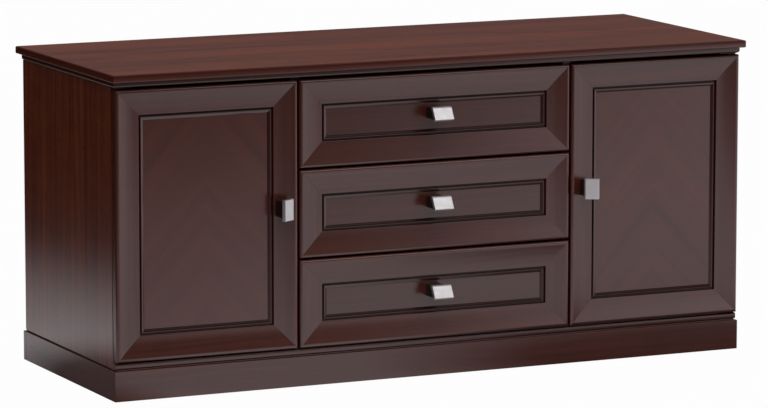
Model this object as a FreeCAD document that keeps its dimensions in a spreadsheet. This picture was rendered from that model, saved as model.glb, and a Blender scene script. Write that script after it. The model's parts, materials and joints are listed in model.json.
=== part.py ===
import FreeCAD, Part

import math
import os
from types import SimpleNamespace

import Sketcher
from FreeCAD import Placement, Rotation, Vector

# Office credenza: a cabinet with two hinged doors and a stack of three drawers.
# Millimetres, +X to the right, +Y to the back, +Z up.  The origin is at the bottom
# centre of the whole piece, knobs included.

# ---------------------------------------------------------------- driving dimensions

DIMENSIONS = {
    # the top and the board below it
    "overall_height": (760, "floor to upper face of the top"),
    "top_width": (1644, "length of the top"),
    "top_depth": (634, "front to back of the top"),
    "top_thickness": (17.5, "thickness of the top"),
    "top_lip": (18.4, "how far the top stands ahead of the plinth"),
    "top_edge_round": (6, "rounding of the top's upper edge"),
    "top_under_round": (3, "rounding of the top's lower edge"),
    "top_corner_round": (2, "rounding of the top's upright corners"),
    "sub_top_thickness": (13.5, "thickness of the board under the top"),
    "sub_top_inset": (8, "sub top's ends, inside the ends of the top"),
    "sub_top_setback": (17.4, "sub top's front, behind the front of the top"),
    "sub_top_back_inset": (21.6, "sub top's back, ahead of the back of the top"),
    "sub_top_round": (5, "rounding of the sub top's lower edge"),
    # the carcass
    "top_end_overhang": (9.5, "top beyond a side panel"),
    "top_back_overhang": (25.6, "top beyond the back panel"),
    "side_thickness": (20, "thickness of a side panel"),
    "partition_thickness": (20, "thickness of a partition"),
    "floor_thickness": (18, "thickness of the carcass floor"),
    "back_thickness": (10, "thickness of the back panel"),
    # the base
    "plinth_end_proud": (3.5, "plinth beyond a side panel"),
    "plinth_back_proud": (7, "plinth beyond the back panel"),
    "plinth_height": (71.3, "floor to upper edge of the plinth"),
    "plinth_board": (18, "thickness of a plinth board"),
    "plinth_lift": (0.6, "plinth boards above the floor, on their glides"),
    "reveal_height": (3, "shadow line between plinth and carcass"),
    "reveal_setback": (6.5, "strips of the shadow line, behind the plinth front"),
    "reveal_inset": (6, "strips of the shadow line, inside the plinth ends"),
    "reveal_width": (20, "width of a strip of the shadow line"),
    "base_rail_height": (14.9, "height of the rail below the fronts"),
    "base_rail_setback": (4, "front of that rail, behind the plinth front"),
    "base_rail_round": (5, "rounding of that rail's front edges"),
    # the doors and drawer fronts
    "front_end_inset": (0.5, "outer edge of a door, inside the side panel's face"),
    "front_standoff": (3.6, "gap between a closed front and the carcass edges"),
    "drawer_front_width": (704.8, "width of a drawer front"),
    "front_gap": (4, "gap between two fronts"),
    "front_gap_above": (5, "gap between the fronts and the sub top"),
    "front_gap_below": (2.7, "gap between the fronts and the base rail"),
    "front_lead": (4.1, "crest of the fronts, ahead of the plinth front"),
    "front_thickness": (22, "thickness of a front frame at its outer edge"),
    "front_edge_round": (6.5, "rounding of the outer edge of a front frame"),
    "member_width": (60, "width of a frame member"),
    "member_fall": (7.1, "how far a member's inner edge lies behind its crest"),
    "member_hollow": (1.2, "hollow of a member's face"),
    "member_arris": (1.5, "rounding of a member's inner edge"),
    "panel_recess": (13.1, "face of a panel, behind the crest of its frame"),
    "panel_thickness": (6, "thickness of a veneered panel"),
    "panel_tongue": (8, "depth of the groove that holds a panel"),
    "tongue_clearance": (1, "room for a panel at the bottom of its groove"),
    "bead_width": (13, "width of the bead round a panel"),
    "bead_height": (4.2, "height of that bead over its panel"),
    "bead_quirk": (3.8, "sunk flat between that bead and the frame"),
    "bead_skin": (0.4, "wood of that bead left on the panel in its flat"),
    "bead_nose": (2, "rounding of that bead's outer edge"),
    "bead_fall": (14, "radius of that bead's face, from its nose to the panel"),
    # the knobs
    "knob_width": (50, "long side of a knob's plate"),
    "knob_height": (36.5, "short side of a knob's plate"),
    "knob_thickness": (9, "thickness of a knob's plate"),
    "knob_tilt": (30, "slant of the plate, in degrees from the front's plane"),
    "knob_projection": (57.5, "knob's forward edge, ahead of a panel's face"),
    "knob_offset": (4.5, "centre of the plate, from the centre of its neck"),
    "knob_roll": (7, "rounding of the plate's rear edge"),
    "knob_lip": (1.5, "rounding of the plate's forward edge"),
    "knob_end_round": (1.2, "rounding of the plate's ends"),
    "neck_width": (40, "long side of a knob's neck"),
    "neck_height": (28, "short side of a knob's neck"),
    "neck_round": (4, "rounding of the neck's corners"),
    "drawer_knob_rise": (8, "knob's neck above the middle of a drawer front"),
    "door_knob_rise": (18.5, "knob's neck above the middle of a door"),
    "door_neck_margin": (5.5, "knob's neck, inside the inner edge of its stile"),
    # the door pivots
    "pivot_inset": (4, "pivot axis from the outer edge of a door"),
    "pivot_depth": (2.9, "pivot axis ahead of the back of a door"),
    "pin_diameter": (4, "diameter of a pivot pin"),
    "pin_clearance": (0.08, "radial clearance of a pin in the door's leaf"),
    "pin_bore_clearance": (0.3, "radial clearance of a pin in the door's wood"),
    "pin_depth": (11, "reach of a pin into the door"),
    "collar_diameter": (7, "diameter of the collar that a door turns on"),
    "collar_clearance": (0.3, "play between collar and door"),
    "leaf_thickness": (2, "thickness of a pivot leaf"),
    "leaf_length": (46, "length of a pivot leaf"),
    "leaf_width": (10, "width of a pivot leaf"),
    "leaf_end": (1, "leaf, inside the outer edge of a door"),
    # the drawers and their runners
    "box_height": (150, "height of a drawer box"),
    "box_back_room": (62.1, "room between a drawer box and the back panel"),
    "box_board": (13, "thickness of the boards of a drawer box"),
    "box_bottom": (6, "thickness of a drawer bottom"),
    "box_bottom_rise": (12, "drawer bottom above the lower edge of its box"),
    "box_drop": (1, "middle of a drawer box, below the middle of its front"),
    "runner_space": (13, "room for a runner on each side of a drawer box"),
    "runner_gauge": (1.5, "metal of a runner"),
    "runner_play": (0.5, "gap between two members of a runner"),
    "runner_tip": (1, "gap beyond the lip of a runner's member"),
    "runner_height": (45, "height of a runner"),
    "runner_back_room": (63.5, "room between a runner and the back panel"),
    "runner_setback": (5, "runner behind the front edges of the carcass"),
    # shelves, glides, bumpers and screws
    "shelf_thickness": (18, "thickness of a shelf"),
    "shelf_level": (400, "floor to underside of a shelf"),
    "shelf_setback": (24, "shelf behind the front edges of the carcass"),
    "shelf_clearance": (1, "play at a shelf's ends and back"),
    "shelf_pin_diameter": (5, "diameter of a shelf pin"),
    "shelf_pin_reach": (12, "shelf pin, out of the board that holds it"),
    "shelf_pin_seat": (9, "shelf pin, into the board that holds it"),
    "shelf_pin_inset": (45, "shelf pin from the shelf's front or back edge"),
    "block_width": (50, "side of a corner block inside the plinth"),
    "block_drop": (8, "corner block above the lower edge of the plinth"),
    "glide_diameter": (32, "foot of a levelling glide"),
    "glide_foot": (6, "height of the foot of a glide"),
    "glide_stud": (8, "diameter of a glide's stud"),
    "glide_stud_length": (34, "length of a glide's stud"),
    "glide_clearance": (0.1, "radial clearance of a stud in its block"),
    "bumper_diameter": (8, "diameter of a bumper pad"),
    "bumper_clearance": (0.4, "gap between a bumper pad and a closed front"),
    "bumper_margin": (1.5, "bumper pad, from the middle of its partition's edge"),
    "bumper_inset": (30, "bumper pads from the top or bottom of a front"),
    "screw_diameter": (4, "diameter of a screw"),
    "screw_clearance": (0.1, "radial clearance of a screw's hole"),
    "screw_head": (8, "diameter of a screw's head"),
    "screw_head_height": (2.4, "height of a screw's head"),
    "knob_screw_spacing": (22, "distance between the two screws of a knob"),
    "knob_screw_grip": (14, "reach of a knob's screw into its neck"),
    "top_screw_length": (24, "length of a screw that holds the top"),
    "top_screw_inset": (60, "such a screw from the front or back of the sub top"),
}

doc = FreeCAD.newDocument("office_credenza")


class Size:
    """A length or an angle: its present value and the expression that gives it."""

    def __init__(self, value, text):
        self.value = float(value)
        self.text = text

    def __add__(self, other):
        other = as_size(other)
        return Size(self.value + other.value, f"({self.text} + {other.text})")

    def __sub__(self, other):
        other = as_size(other)
        return Size(self.value - other.value, f"({self.text} - {other.text})")

    def __mul__(self, other):
        other = as_size(other)
        return Size(self.value * other.value, f"({self.text} * {other.text})")

    def __truediv__(self, other):
        other = as_size(other)
        return Size(self.value / other.value, f"({self.text} / {other.text})")

    def __neg__(self):
        return Size(-self.value, f"(0 - {self.text})")

    def __radd__(self, other):
        return as_size(other) + self

    def __rsub__(self, other):
        return as_size(other) - self

    __rmul__ = __mul__


def as_size(number):
    """A plain number as a Size; a Size stays as it is."""
    return number if isinstance(number, Size) else Size(number, f"{float(number)}")


def sine(angle):
    return Size(math.sin(math.radians(angle.value)), f"sin({angle.text})")


def cosine(angle):
    return Size(math.cos(math.radians(angle.value)), f"cos({angle.text})")


def read_sheet():
    """Writes the driving dimensions to a spreadsheet and gives them back by name."""
    sheet = doc.addObject("Spreadsheet::Sheet", "sizes")
    for row, (alias, (value, meaning)) in enumerate(DIMENSIONS.items(), start=1):
        sheet.set(f"A{row}", meaning)
        sheet.set(f"B{row}", str(value))
        sheet.setAlias(f"B{row}", alias)
    doc.recompute()
    return SimpleNamespace(
        **{alias: Size(sheet.get(alias), f"sizes.{alias}") for alias in DIMENSIONS})


S = read_sheet()
ZERO = as_size(0)

# ------------------------------------------------------------------- derived places

# depth: the plinth's front is the datum, placed so that the whole piece is centred
KNOB_REACH = S.knob_projection - (S.panel_recess - S.front_lead)
FRONT = (KNOB_REACH + S.top_lip - S.top_depth) / 2
TOP_FRONT = FRONT - S.top_lip
TOP_BACK = TOP_FRONT + S.top_depth
CREST = FRONT - S.front_lead
FRONT_BACK = CREST + S.front_thickness
PANEL_FACE = CREST + S.panel_recess
CARCASS_FRONT = FRONT_BACK + S.front_standoff
CARCASS_BACK = TOP_BACK - S.top_back_overhang
INSIDE_BACK = CARCASS_BACK - S.back_thickness

# height
TOP_UNDER = S.overall_height - S.top_thickness
CARCASS_TOP = TOP_UNDER - S.sub_top_thickness
CARCASS_FOOT = S.plinth_height + S.reveal_height
CARCASS_FLOOR = CARCASS_FOOT + S.floor_thickness
BASE_RAIL_TOP = CARCASS_FOOT + S.base_rail_height
FRONTS_TOP = CARCASS_TOP - S.front_gap_above
FRONTS_FOOT = BASE_RAIL_TOP + S.front_gap_below
FRONTS_HEIGHT = FRONTS_TOP - FRONTS_FOOT
FRONTS_MIDDLE = (FRONTS_TOP + FRONTS_FOOT) / 2
DRAWERS = ("bottom_drawer", "middle_drawer", "top_drawer")
DRAWER_HEIGHT = (FRONTS_HEIGHT - S.front_gap * (len(DRAWERS) - 1)) / len(DRAWERS)

# width, as half widths from the middle
HALF_CARCASS = S.top_width / 2 - S.top_end_overhang
HALF_INSIDE = HALF_CARCASS - S.side_thickness
HALF_FRONTS = HALF_CARCASS - S.front_end_inset
DRAWER_EDGE = S.drawer_front_width / 2
DOOR_EDGE = DRAWER_EDGE + S.front_gap
DOOR_WIDTH = HALF_FRONTS - DOOR_EDGE
DOOR_MIDDLE = (HALF_FRONTS + DOOR_EDGE) / 2
PARTITION_MIDDLE = (DRAWER_EDGE + DOOR_EDGE) / 2
PARTITION_INNER = PARTITION_MIDDLE - S.partition_thickness / 2
PARTITION_OUTER = PARTITION_MIDDLE + S.partition_thickness / 2
HALF_BOX = PARTITION_INNER - S.runner_space
PIVOT_X = HALF_FRONTS - S.pivot_inset
PIVOT_Y = FRONT_BACK - S.pivot_depth

SIDES = {"left": -1, "right": 1}


def drawer_middle(number):
    """Height of the middle of a drawer front, counted from the bottom."""
    return FRONTS_FOOT + DRAWER_HEIGHT / 2 + (DRAWER_HEIGHT + S.front_gap) * number


# ------------------------------------------------------------------------- helpers


def bind(target, path, size):
    """Ties a property to an expression over the sheet."""
    target.setExpression(path, as_size(size).text)


def place(target, x=ZERO, y=ZERO, z=ZERO, turn=0, axis=Vector(0, 1, 0)):
    """Puts an object at a point, turned by some degrees about an axis."""
    target.Placement = Placement(Vector(0, 0, 0), Rotation(axis, turn))
    for letter, size in zip("xyz", (x, y, z)):
        bind(target, f"Placement.Base.{letter}", size)
    return target


def board(name, low, high):
    """A plain board between two opposite corners."""
    item = doc.addObject("Part::Box", name)
    for path, start, end in zip(("Length", "Width", "Height"), low, high):
        bind(item, path, as_size(end) - start)
    return place(item, *(as_size(start) for start in low))


def rod(name, diameter, length, x, y, z, axis=Vector(1, 0, 0), turn=0):
    """A round rod from a point, upwards unless it is turned about an axis."""
    item = doc.addObject("Part::Cylinder", name)
    bind(item, "Radius", diameter / 2)
    bind(item, "Height", length)
    return place(item, as_size(x), as_size(y), as_size(z), turn, axis)


def group(name, pieces):
    """Separate solids kept as one sub-part."""
    item = doc.addObject("Part::Compound", name)
    item.Links = pieces
    return item


def copy_at(name, source, x=ZERO, y=ZERO, z=ZERO, turn=0):
    """Another copy of a sub-part, turned about its own Y axis."""
    return place(group(name, [source]), x, y, z, turn)


def cut(name, base, tool):
    """A sub-part with something cut out of it."""
    item = doc.addObject("Part::Cut", name)
    item.Base = base
    item.Tool = tool
    return item


def fuse(name, pieces):
    """Several shapes made into one solid."""
    item = doc.addObject("Part::MultiFuse", name)
    item.Shapes = pieces
    item.Refine = True
    return item


def edges_in(shape, along=None, **planes):
    """Names of the edges that lie in the given planes, such as z=3."""
    names = []
    for number, edge in enumerate(shape.Edges, start=1):
        points = [vertex.Point for vertex in edge.Vertexes]
        points.append(edge.valueAt((edge.FirstParameter + edge.LastParameter) / 2))
        if not all(abs(getattr(point, letter) - level.value) < 1e-4
                   for letter, level in planes.items() for point in points):
            continue
        if along is None or abs(edge.tangentAt(edge.FirstParameter).dot(along)) > 0.999:
            names.append(f"Edge{number}")
    return names


def round_edges(body, radius, **choice):
    """Rounds chosen edges of a body's last feature."""
    doc.recompute()
    base = body.Tip
    feature = body.newObject("PartDesign::Fillet", f"{body.Name}_round")
    feature.Base = (base, edges_in(base.Shape, **choice))
    bind(feature, "Radius", radius)
    base.Visibility = False


def block_body(name, low, high):
    """A board made as a body, so that its edges can be rounded."""
    body = doc.addObject("PartDesign::Body", name)
    block = body.newObject("PartDesign::AdditiveBox", f"{name}_block")
    for path, start, end in zip(("Length", "Width", "Height"), low, high):
        bind(block, path, end - start)
    return place(body, *low)


def outline_sketch(body, role, corners):
    """A closed outline on one of a body's own planes, tied to the sheet.

    Each corner is (across, up, radius, side).  With a radius, the edge from that
    corner to the next is an arc, which bulges to the left of its chord for side 1
    and to the right for side -1.
    """
    sketch = body.newObject("Sketcher::SketchObject", f"{body.Name}_outline")
    planes = [item for item in body.Origin.OriginFeatures if item.Role == role]
    sketch.AttachmentSupport = [(planes[0], "")]
    sketch.MapMode = "FlatFace"
    points = [Vector(as_size(c[0]).value, as_size(c[1]).value, 0) for c in corners]
    radii = []
    for number, corner in enumerate(corners):
        start = points[number]
        end = points[(number + 1) % len(points)]
        if len(corner) == 2:
            sketch.addGeometry(Part.LineSegment(start, end), False)
            continue
        radius, side = corner[2:]
        chord = end - start
        height = radius.value - math.sqrt(radius.value ** 2 - (chord.Length / 2) ** 2)
        left = Vector(-chord.y, chord.x, 0).normalize()
        bulge = (start + end) * 0.5 + left * (height * side)
        sketch.addGeometry(Part.Arc(start, bulge, end), False)
        radii.append((number, radius, side))
    tie_outline(sketch, corners, radii)
    return sketch


def tie_outline(sketch, corners, radii):
    """Constrains an outline: closed, each corner in place and each arc's radius."""
    clockwise = {number for number, _, side in radii if side > 0}
    count = len(corners)
    for number in range(count):
        following = (number + 1) % count
        end = 1 if number in clockwise else 2
        start = 2 if following in clockwise else 1
        sketch.addConstraint(Sketcher.Constraint("Coincident", number, end, following, start))
    for number, corner in enumerate(corners):
        start = 2 if number in clockwise else 1
        for kind, size in zip(("DistanceX", "DistanceY"), corner[:2]):
            size = as_size(size)
            index = sketch.addConstraint(
                Sketcher.Constraint(kind, -1, 1, number, start, size.value))
            bind(sketch, f"Constraints[{index}]", size)
    for number, radius, _ in radii:
        index = sketch.addConstraint(Sketcher.Constraint("Radius", number, radius.value))
        bind(sketch, f"Constraints[{index}]", radius)


def bar(name, role, corners, length):
    """A straight bar of one section, centred on its own middle."""
    body = doc.addObject("PartDesign::Body", name)
    sketch = outline_sketch(body, role, corners)
    pad = body.newObject("PartDesign::Pad", f"{name}_pad")
    pad.Profile = sketch
    pad.SideType = "Symmetric"
    bind(pad, "Length", length)
    sketch.Visibility = False
    return body


def mitred_bar(name, corners, length, width):
    """A bar along X whose ends are mitred; its outer edge is at z = 0."""
    straight = bar(f"{name}_bar", "YZ_Plane", corners, length)
    envelope = doc.addObject("Part::Wedge", f"{name}_mitre")
    half = length / 2
    sizes = {"Xmin": width - half, "Xmax": half - width, "X2min": -half, "X2max": half,
             "Ymin": -width, "Ymax": 0, "Zmin": -S.front_thickness,
             "Zmax": S.front_thickness * 2, "Z2min": -S.front_thickness,
             "Z2max": S.front_thickness * 2}
    for path, size in sizes.items():
        bind(envelope, path, size)
    place(envelope, turn=90, axis=Vector(1, 0, 0), y=S.front_thickness)
    item = doc.addObject("Part::Common", name)
    item.Base = straight
    item.Tool = envelope
    return item


def mitred_ring(name, corners, width, height, member):
    """Four mitred bars round an opening, centred on the origin."""
    level = mitred_bar(f"{name}_rail", corners, width, member)
    upright = mitred_bar(f"{name}_stile", corners, height, member)
    return group(name, [
        copy_at(f"{name}_upper", level, z=height / 2),
        copy_at(f"{name}_lower", level, z=-height / 2, turn=180),
        copy_at(f"{name}_left", upright, x=-width / 2, turn=-90),
        copy_at(f"{name}_right", upright, x=width / 2, turn=90),
    ])


def screw(name, x, y, z, length, axis=Vector(1, 0, 0), turn=0):
    """A screw with a flat head; the underside of its head is at the given point."""
    shank = rod(f"{name}_shank", S.screw_diameter, length, 0, 0, 0)
    head = rod(f"{name}_head", S.screw_head, S.screw_head_height, 0, 0, -S.screw_head_height)
    item = fuse(f"{name}_whole", [shank, head])
    return place(group(name, [item]), as_size(x), as_size(y), as_size(z), turn, axis)


def screw_hole(name, x, y, z, length, axis=Vector(1, 0, 0), turn=0):
    """The hole for such a screw."""
    return rod(name, S.screw_diameter + S.screw_clearance * 2, length, x, y, z, axis, turn)


TO_FRONT = {"axis": Vector(1, 0, 0), "turn": 90}
TO_LEFT = {"axis": Vector(0, 1, 0), "turn": -90}
TO_RIGHT = {"axis": Vector(0, 1, 0), "turn": 90}

nodes = []


def keep(item, label):
    """Marks an object as a finished sub-part under its own name."""
    item.Label = label
    nodes.append(item)
    return item


# ------------------------------------------------------------------ top and carcass


def build_top():
    """The overhanging top, the sub top that carries it and the screws between."""
    top = block_body("top_board", (-S.top_width / 2, TOP_FRONT, TOP_UNDER),
                     (S.top_width / 2, TOP_BACK, S.overall_height))
    round_edges(top, S.top_corner_round, along=Vector(0, 0, 1))
    round_edges(top, S.top_edge_round, z=S.top_thickness)
    round_edges(top, S.top_under_round, z=ZERO)

    half_sub_top = S.top_width / 2 - S.sub_top_inset
    sub_front = TOP_FRONT + S.sub_top_setback
    sub_back = TOP_BACK - S.sub_top_back_inset
    sub_top = block_body("sub_top_board", (-half_sub_top, sub_front, CARCASS_TOP),
                         (half_sub_top, sub_back, TOP_UNDER))
    round_edges(sub_top, S.sub_top_round, z=ZERO)

    screws = []
    holes = []
    spots = [(x, y) for x in (-half_sub_top + S.top_screw_inset * 2, -PARTITION_INNER / 2,
                              PARTITION_INNER / 2, half_sub_top - S.top_screw_inset * 2)
             for y in (sub_front + S.top_screw_inset, sub_back - S.top_screw_inset)]
    for number, (x, y) in enumerate(spots):
        screws.append(screw(f"top_screw_{number}", x, y, CARCASS_TOP, S.top_screw_length))
        holes.append(screw_hole(f"top_screw_hole_{number}", x, y, CARCASS_TOP,
                                S.top_screw_length))
    hole_group = group("top_screw_holes", holes)
    keep(cut("top_drilled", top, hole_group), "top_panel")
    keep(cut("sub_top_drilled", sub_top, hole_group), "sub_top")
    keep(group("top_screw_group", screws), "top_screws")


def shelf_pin_spots():
    """Where the shelf pins leave their boards, and which way along X they reach."""
    front = CARCASS_FRONT + S.shelf_setback + S.shelf_pin_inset
    back = INSIDE_BACK - S.shelf_clearance - S.shelf_pin_inset
    level = S.shelf_level - S.shelf_pin_diameter / 2
    for sign in SIDES.values():
        for x, way in ((HALF_INSIDE * sign, -sign), (PARTITION_OUTER * sign, sign)):
            for y in (front, back):
                yield x, y, level, way


def shelf_pins(name, diameter):
    """The shelf pins, or with a larger diameter the holes that they stand in."""
    pins = []
    for number, (x, y, level, way) in enumerate(shelf_pin_spots()):
        turned = TO_RIGHT if way > 0 else TO_LEFT
        pins.append(rod(f"{name}_{number}", diameter, S.shelf_pin_seat + S.shelf_pin_reach,
                        x - S.shelf_pin_seat * way, y, level, **turned))
    return group(name, pins)


def build_carcass():
    """Side panels, partitions, floor, back, shelves and the rail below the fronts."""
    pins = shelf_pins("shelf_pin_group", S.shelf_pin_diameter)
    keep(pins, "shelf_pins")
    for side, sign in SIDES.items():
        outer, inner = HALF_CARCASS * sign, HALF_INSIDE * sign
        low_x, high_x = (outer, inner) if sign < 0 else (inner, outer)
        panel = board(f"{side}_side_board", (low_x, CARCASS_FRONT, CARCASS_FOOT),
                      (high_x, CARCASS_BACK, CARCASS_TOP))
        keep(cut(f"{side}_side_drilled", panel, pins), f"{side}_side")

    boards = []
    for side, sign in SIDES.items():
        middle = PARTITION_MIDDLE * sign
        half = S.partition_thickness / 2
        boards.append(board(f"{side}_partition_board",
                            (middle - half, CARCASS_FRONT, CARCASS_FLOOR),
                            (middle + half, INSIDE_BACK, CARCASS_TOP)))
    keep(cut("partitions_drilled", group("partition_boards", boards), pins), "partitions")

    keep(board("floor_board", (-HALF_INSIDE, CARCASS_FRONT, CARCASS_FOOT),
               (HALF_INSIDE, INSIDE_BACK, CARCASS_FLOOR)), "carcass_floor")
    keep(board("back_board", (-HALF_INSIDE, INSIDE_BACK, CARCASS_FOOT),
               (HALF_INSIDE, CARCASS_BACK, CARCASS_TOP)), "back_panel")

    shelves = []
    for side, sign in SIDES.items():
        ends = sorted((HALF_INSIDE * sign - S.shelf_clearance * sign,
                       PARTITION_OUTER * sign + S.shelf_clearance * sign),
                      key=lambda size: size.value)
        shelves.append(board(f"{side}_shelf_board",
                             (ends[0], CARCASS_FRONT + S.shelf_setback, S.shelf_level),
                             (ends[1], INSIDE_BACK - S.shelf_clearance,
                              S.shelf_level + S.shelf_thickness)))
    keep(group("shelf_boards", shelves), "shelves")

    rail_front = FRONT + S.base_rail_setback
    rail = block_body("base_rail_bar", (-HALF_CARCASS, rail_front, CARCASS_FOOT),
                      (HALF_CARCASS, CARCASS_FRONT, BASE_RAIL_TOP))
    round_edges(rail, S.base_rail_round, y=ZERO)
    return rail


def build_bumpers():
    """Round pads on the carcass edges, which the closed fronts come up to."""
    pads = []
    levels = {"door": (FRONTS_FOOT + S.bumper_inset, FRONTS_TOP - S.bumper_inset)}
    for number, name in enumerate(DRAWERS):
        reach = DRAWER_HEIGHT / 2 - S.bumper_inset
        levels[name] = (drawer_middle(number) - reach, drawer_middle(number) + reach)
    for name, heights in levels.items():
        from_middle = S.bumper_diameter / 2 + S.bumper_margin
        x = PARTITION_MIDDLE + from_middle * (1 if name == "door" else -1)
        for side, sign in SIDES.items():
            for number, z in enumerate(heights):
                pads.append(rod(f"{side}_{name}_bumper_{number}", S.bumper_diameter,
                                S.front_standoff - S.bumper_clearance, x * sign,
                                CARCASS_FRONT, z, **TO_FRONT))
    keep(group("bumper_group", pads), "bumpers")


# -------------------------------------------------------------------------- plinth


def build_plinth():
    """The plinth's four boards, the shadow line strips, corner blocks and glides."""
    half = HALF_CARCASS + S.plinth_end_proud
    back = CARCASS_BACK + S.plinth_back_proud
    thick = S.plinth_board
    foot, head = S.plinth_lift, S.plinth_height
    keep(group("plinth_long_boards", [
        board("plinth_front_board", (-half, FRONT, foot), (half, FRONT + thick, head)),
        board("plinth_back_board", (-half, back - thick, foot), (half, back, head)),
    ]), "plinth_rails")
    keep(group("plinth_end_boards", [
        board("plinth_left_board", (-half, FRONT + thick, foot),
              (thick - half, back - thick, head)),
        board("plinth_right_board", (half - thick, FRONT + thick, foot),
              (half, back - thick, head)),
    ]), "plinth_ends")

    edge = half - S.reveal_inset
    near, far = FRONT + S.reveal_setback, back - S.reveal_setback
    wide = S.reveal_width
    keep(group("reveal_group", [
        board("reveal_front", (-edge, near, head), (edge, near + wide, CARCASS_FOOT)),
        board("reveal_back", (-edge, far - wide, head), (edge, far, CARCASS_FOOT)),
        board("reveal_left", (-edge, near + wide, head),
              (wide - edge, far - wide, CARCASS_FOOT)),
        board("reveal_right", (edge - wide, near + wide, head),
              (edge, far - wide, CARCASS_FOOT)),
    ]), "reveal_strips")

    blocks, bores, glides = [], [], []
    corner = half - thick - S.block_width / 2
    for column, x in enumerate((-corner, ZERO, corner)):
        for row, y in enumerate((FRONT + thick + S.block_width / 2,
                                 back - thick - S.block_width / 2)):
            name = f"{column}_{row}"
            reach = S.block_width / 2
            blocks.append(board(f"block_{name}", (x - reach, y - reach, foot + S.block_drop),
                                (x + reach, y + reach, head)))
            bores.append(rod(f"stud_bore_{name}", S.glide_stud + S.glide_clearance * 2,
                             S.glide_stud_length, x, y, S.glide_foot))
            foot_pad = rod(f"glide_foot_{name}", S.glide_diameter, S.glide_foot, x, y, 0)
            stud = rod(f"glide_stud_{name}", S.glide_stud,
                       S.glide_stud_length - S.glide_clearance, x, y, S.glide_foot)
            glides.append(fuse(f"glide_{name}", [foot_pad, stud]))
    keep(cut("blocks_drilled", group("block_group", blocks), group("stud_bores", bores)),
         "glide_blocks")
    keep(group("glide_group", glides), "levelling_glides")


# --------------------------------------------------------------------------- fronts


def member_section():
    """Section of a frame member: outer edge at 0, crest, hollow face and groove."""
    width, lip = S.member_width, S.front_edge_round
    arris = S.member_arris
    crest, back = ZERO, S.front_thickness
    face_end = S.member_fall
    chord_across = width - lip - arris
    hollow_radius = (chord_across * chord_across + face_end * face_end) / (
        S.member_hollow * 8) + S.member_hollow / 2
    groove_front = S.panel_recess
    groove_back = S.panel_recess + S.panel_thickness
    groove_floor = S.panel_tongue - width
    return [
        (back, ZERO),
        (crest + lip, ZERO, lip, -1),
        (crest, -lip, hollow_radius, 1),
        (face_end, arris - width, arris, -1),
        (face_end + arris, -width),
        (groove_front, -width),
        (groove_front, groove_floor),
        (groove_back, groove_floor),
        (groove_back, -width),
        (back, -width),
    ]


def bead_section():
    """Section of a bead: a sunk flat against the frame, a nose, a round down to the panel."""
    base = S.panel_recess
    width, quirk, nose = S.bead_width, S.bead_quirk, S.bead_nose
    bed, crown = base - S.bead_skin, base - S.bead_height
    return [
        (base, ZERO),
        (bed, ZERO),
        (bed, -quirk),
        (crown + nose, -quirk, nose, -1),
        (crown, -quirk - nose, S.bead_fall, -1),
        (bed, -width),
        (base, -width),
    ]


def front_set(name, width, height):
    """Frame, beads and panel of one front, centred, with its crest at y = 0."""
    frame = mitred_ring(f"{name}_frame_set", member_section(), width, height,
                        S.member_width)
    inner = (width - S.member_width * 2, height - S.member_width * 2)
    beads = mitred_ring(f"{name}_bead_set", bead_section(), *inner, S.bead_width)
    reach = S.panel_tongue - S.tongue_clearance
    half_x, half_z = inner[0] / 2 + reach, inner[1] / 2 + reach
    panel = board(f"{name}_panel_set", (-half_x, S.panel_recess, -half_z),
                  (half_x, S.panel_recess + S.panel_thickness, half_z))
    return {"frame": frame, "beads": beads, "panel": group(f"{name}_panel_one", [panel])}


def knob_plate():
    """The slanted plate of a knob; its neck stands on y = 0, centred on z = 0."""
    slope, flat = sine(S.knob_tilt), cosine(S.knob_tilt)
    up = (slope, flat)
    out = (-flat, slope)
    lip, roll = S.knob_lip, S.knob_roll
    corner = (-S.knob_projection - lip * (slope + flat - 1),
              S.knob_offset - S.knob_height * flat / 2)

    def point(along, inwards):
        return tuple(corner[k] + up[k] * along - out[k] * inwards for k in (0, 1))

    thick = S.knob_thickness
    corners = [
        point(lip, ZERO),
        (*point(S.knob_height - roll, ZERO), roll, 1),
        point(S.knob_height, roll),
        point(S.knob_height, thick),
        point(ZERO, thick),
        (*point(ZERO, lip), lip, 1),
    ]
    plate = bar("knob_plate", "YZ_Plane", corners, S.knob_width)
    half = S.knob_width / 2
    round_edges(plate, S.knob_end_round, x=half)
    round_edges(plate, S.knob_end_round, x=-half)
    return plate, point


def knob_neck(point):
    """The neck between a knob's plate and its front."""
    slope, flat = sine(S.knob_tilt), cosine(S.knob_tilt)
    low = point(ZERO, S.knob_thickness)
    half = S.neck_height / 2

    def plate_back(level):
        return low[0] + (level - low[1]) * slope / flat

    corners = [(ZERO, -half), (plate_back(-half), -half), (plate_back(half), half),
               (ZERO, half)]
    neck = bar("knob_neck", "YZ_Plane", corners, S.neck_width)
    round_edges(neck, S.neck_round, along=Vector(0, 1, 0))
    return neck


def knob_screws(name, seat, across):
    """The two screws of a knob, from the back of its front, and their holes."""
    screws, holes = [], []
    length = S.knob_screw_grip + seat
    for number, way in enumerate((-1, 1)):
        offset = S.knob_screw_spacing / 2 * way
        x, z = (offset, ZERO) if across else (ZERO, offset)
        screws.append(screw(f"{name}_{number}", x, seat, z, length, **TO_FRONT))
        holes.append(screw_hole(f"{name}_hole_{number}", x, seat, z, length, **TO_FRONT))
    return group(f"{name}_pair", screws), group(f"{name}_holes", holes)


def fit_knob(front, pieces, x, z, turn, seat):
    """A knob on one front: plate, neck, screws, and their holes in the front."""
    spot = {"x": x, "y": PANEL_FACE, "z": z}
    screws, holes = knob_screws(f"{front}_knob_screw", seat, turn == 0)
    keep(place(screws, **spot), f"{front}_knob_screws")
    bores = place(holes, **spot)
    keep(copy_at(f"{front}_plate_copy", pieces["plate"], turn=turn, **spot), f"{front}_knob")
    neck = copy_at(f"{front}_neck_copy", pieces["neck"], turn=turn, **spot)
    return neck, bores


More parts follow.
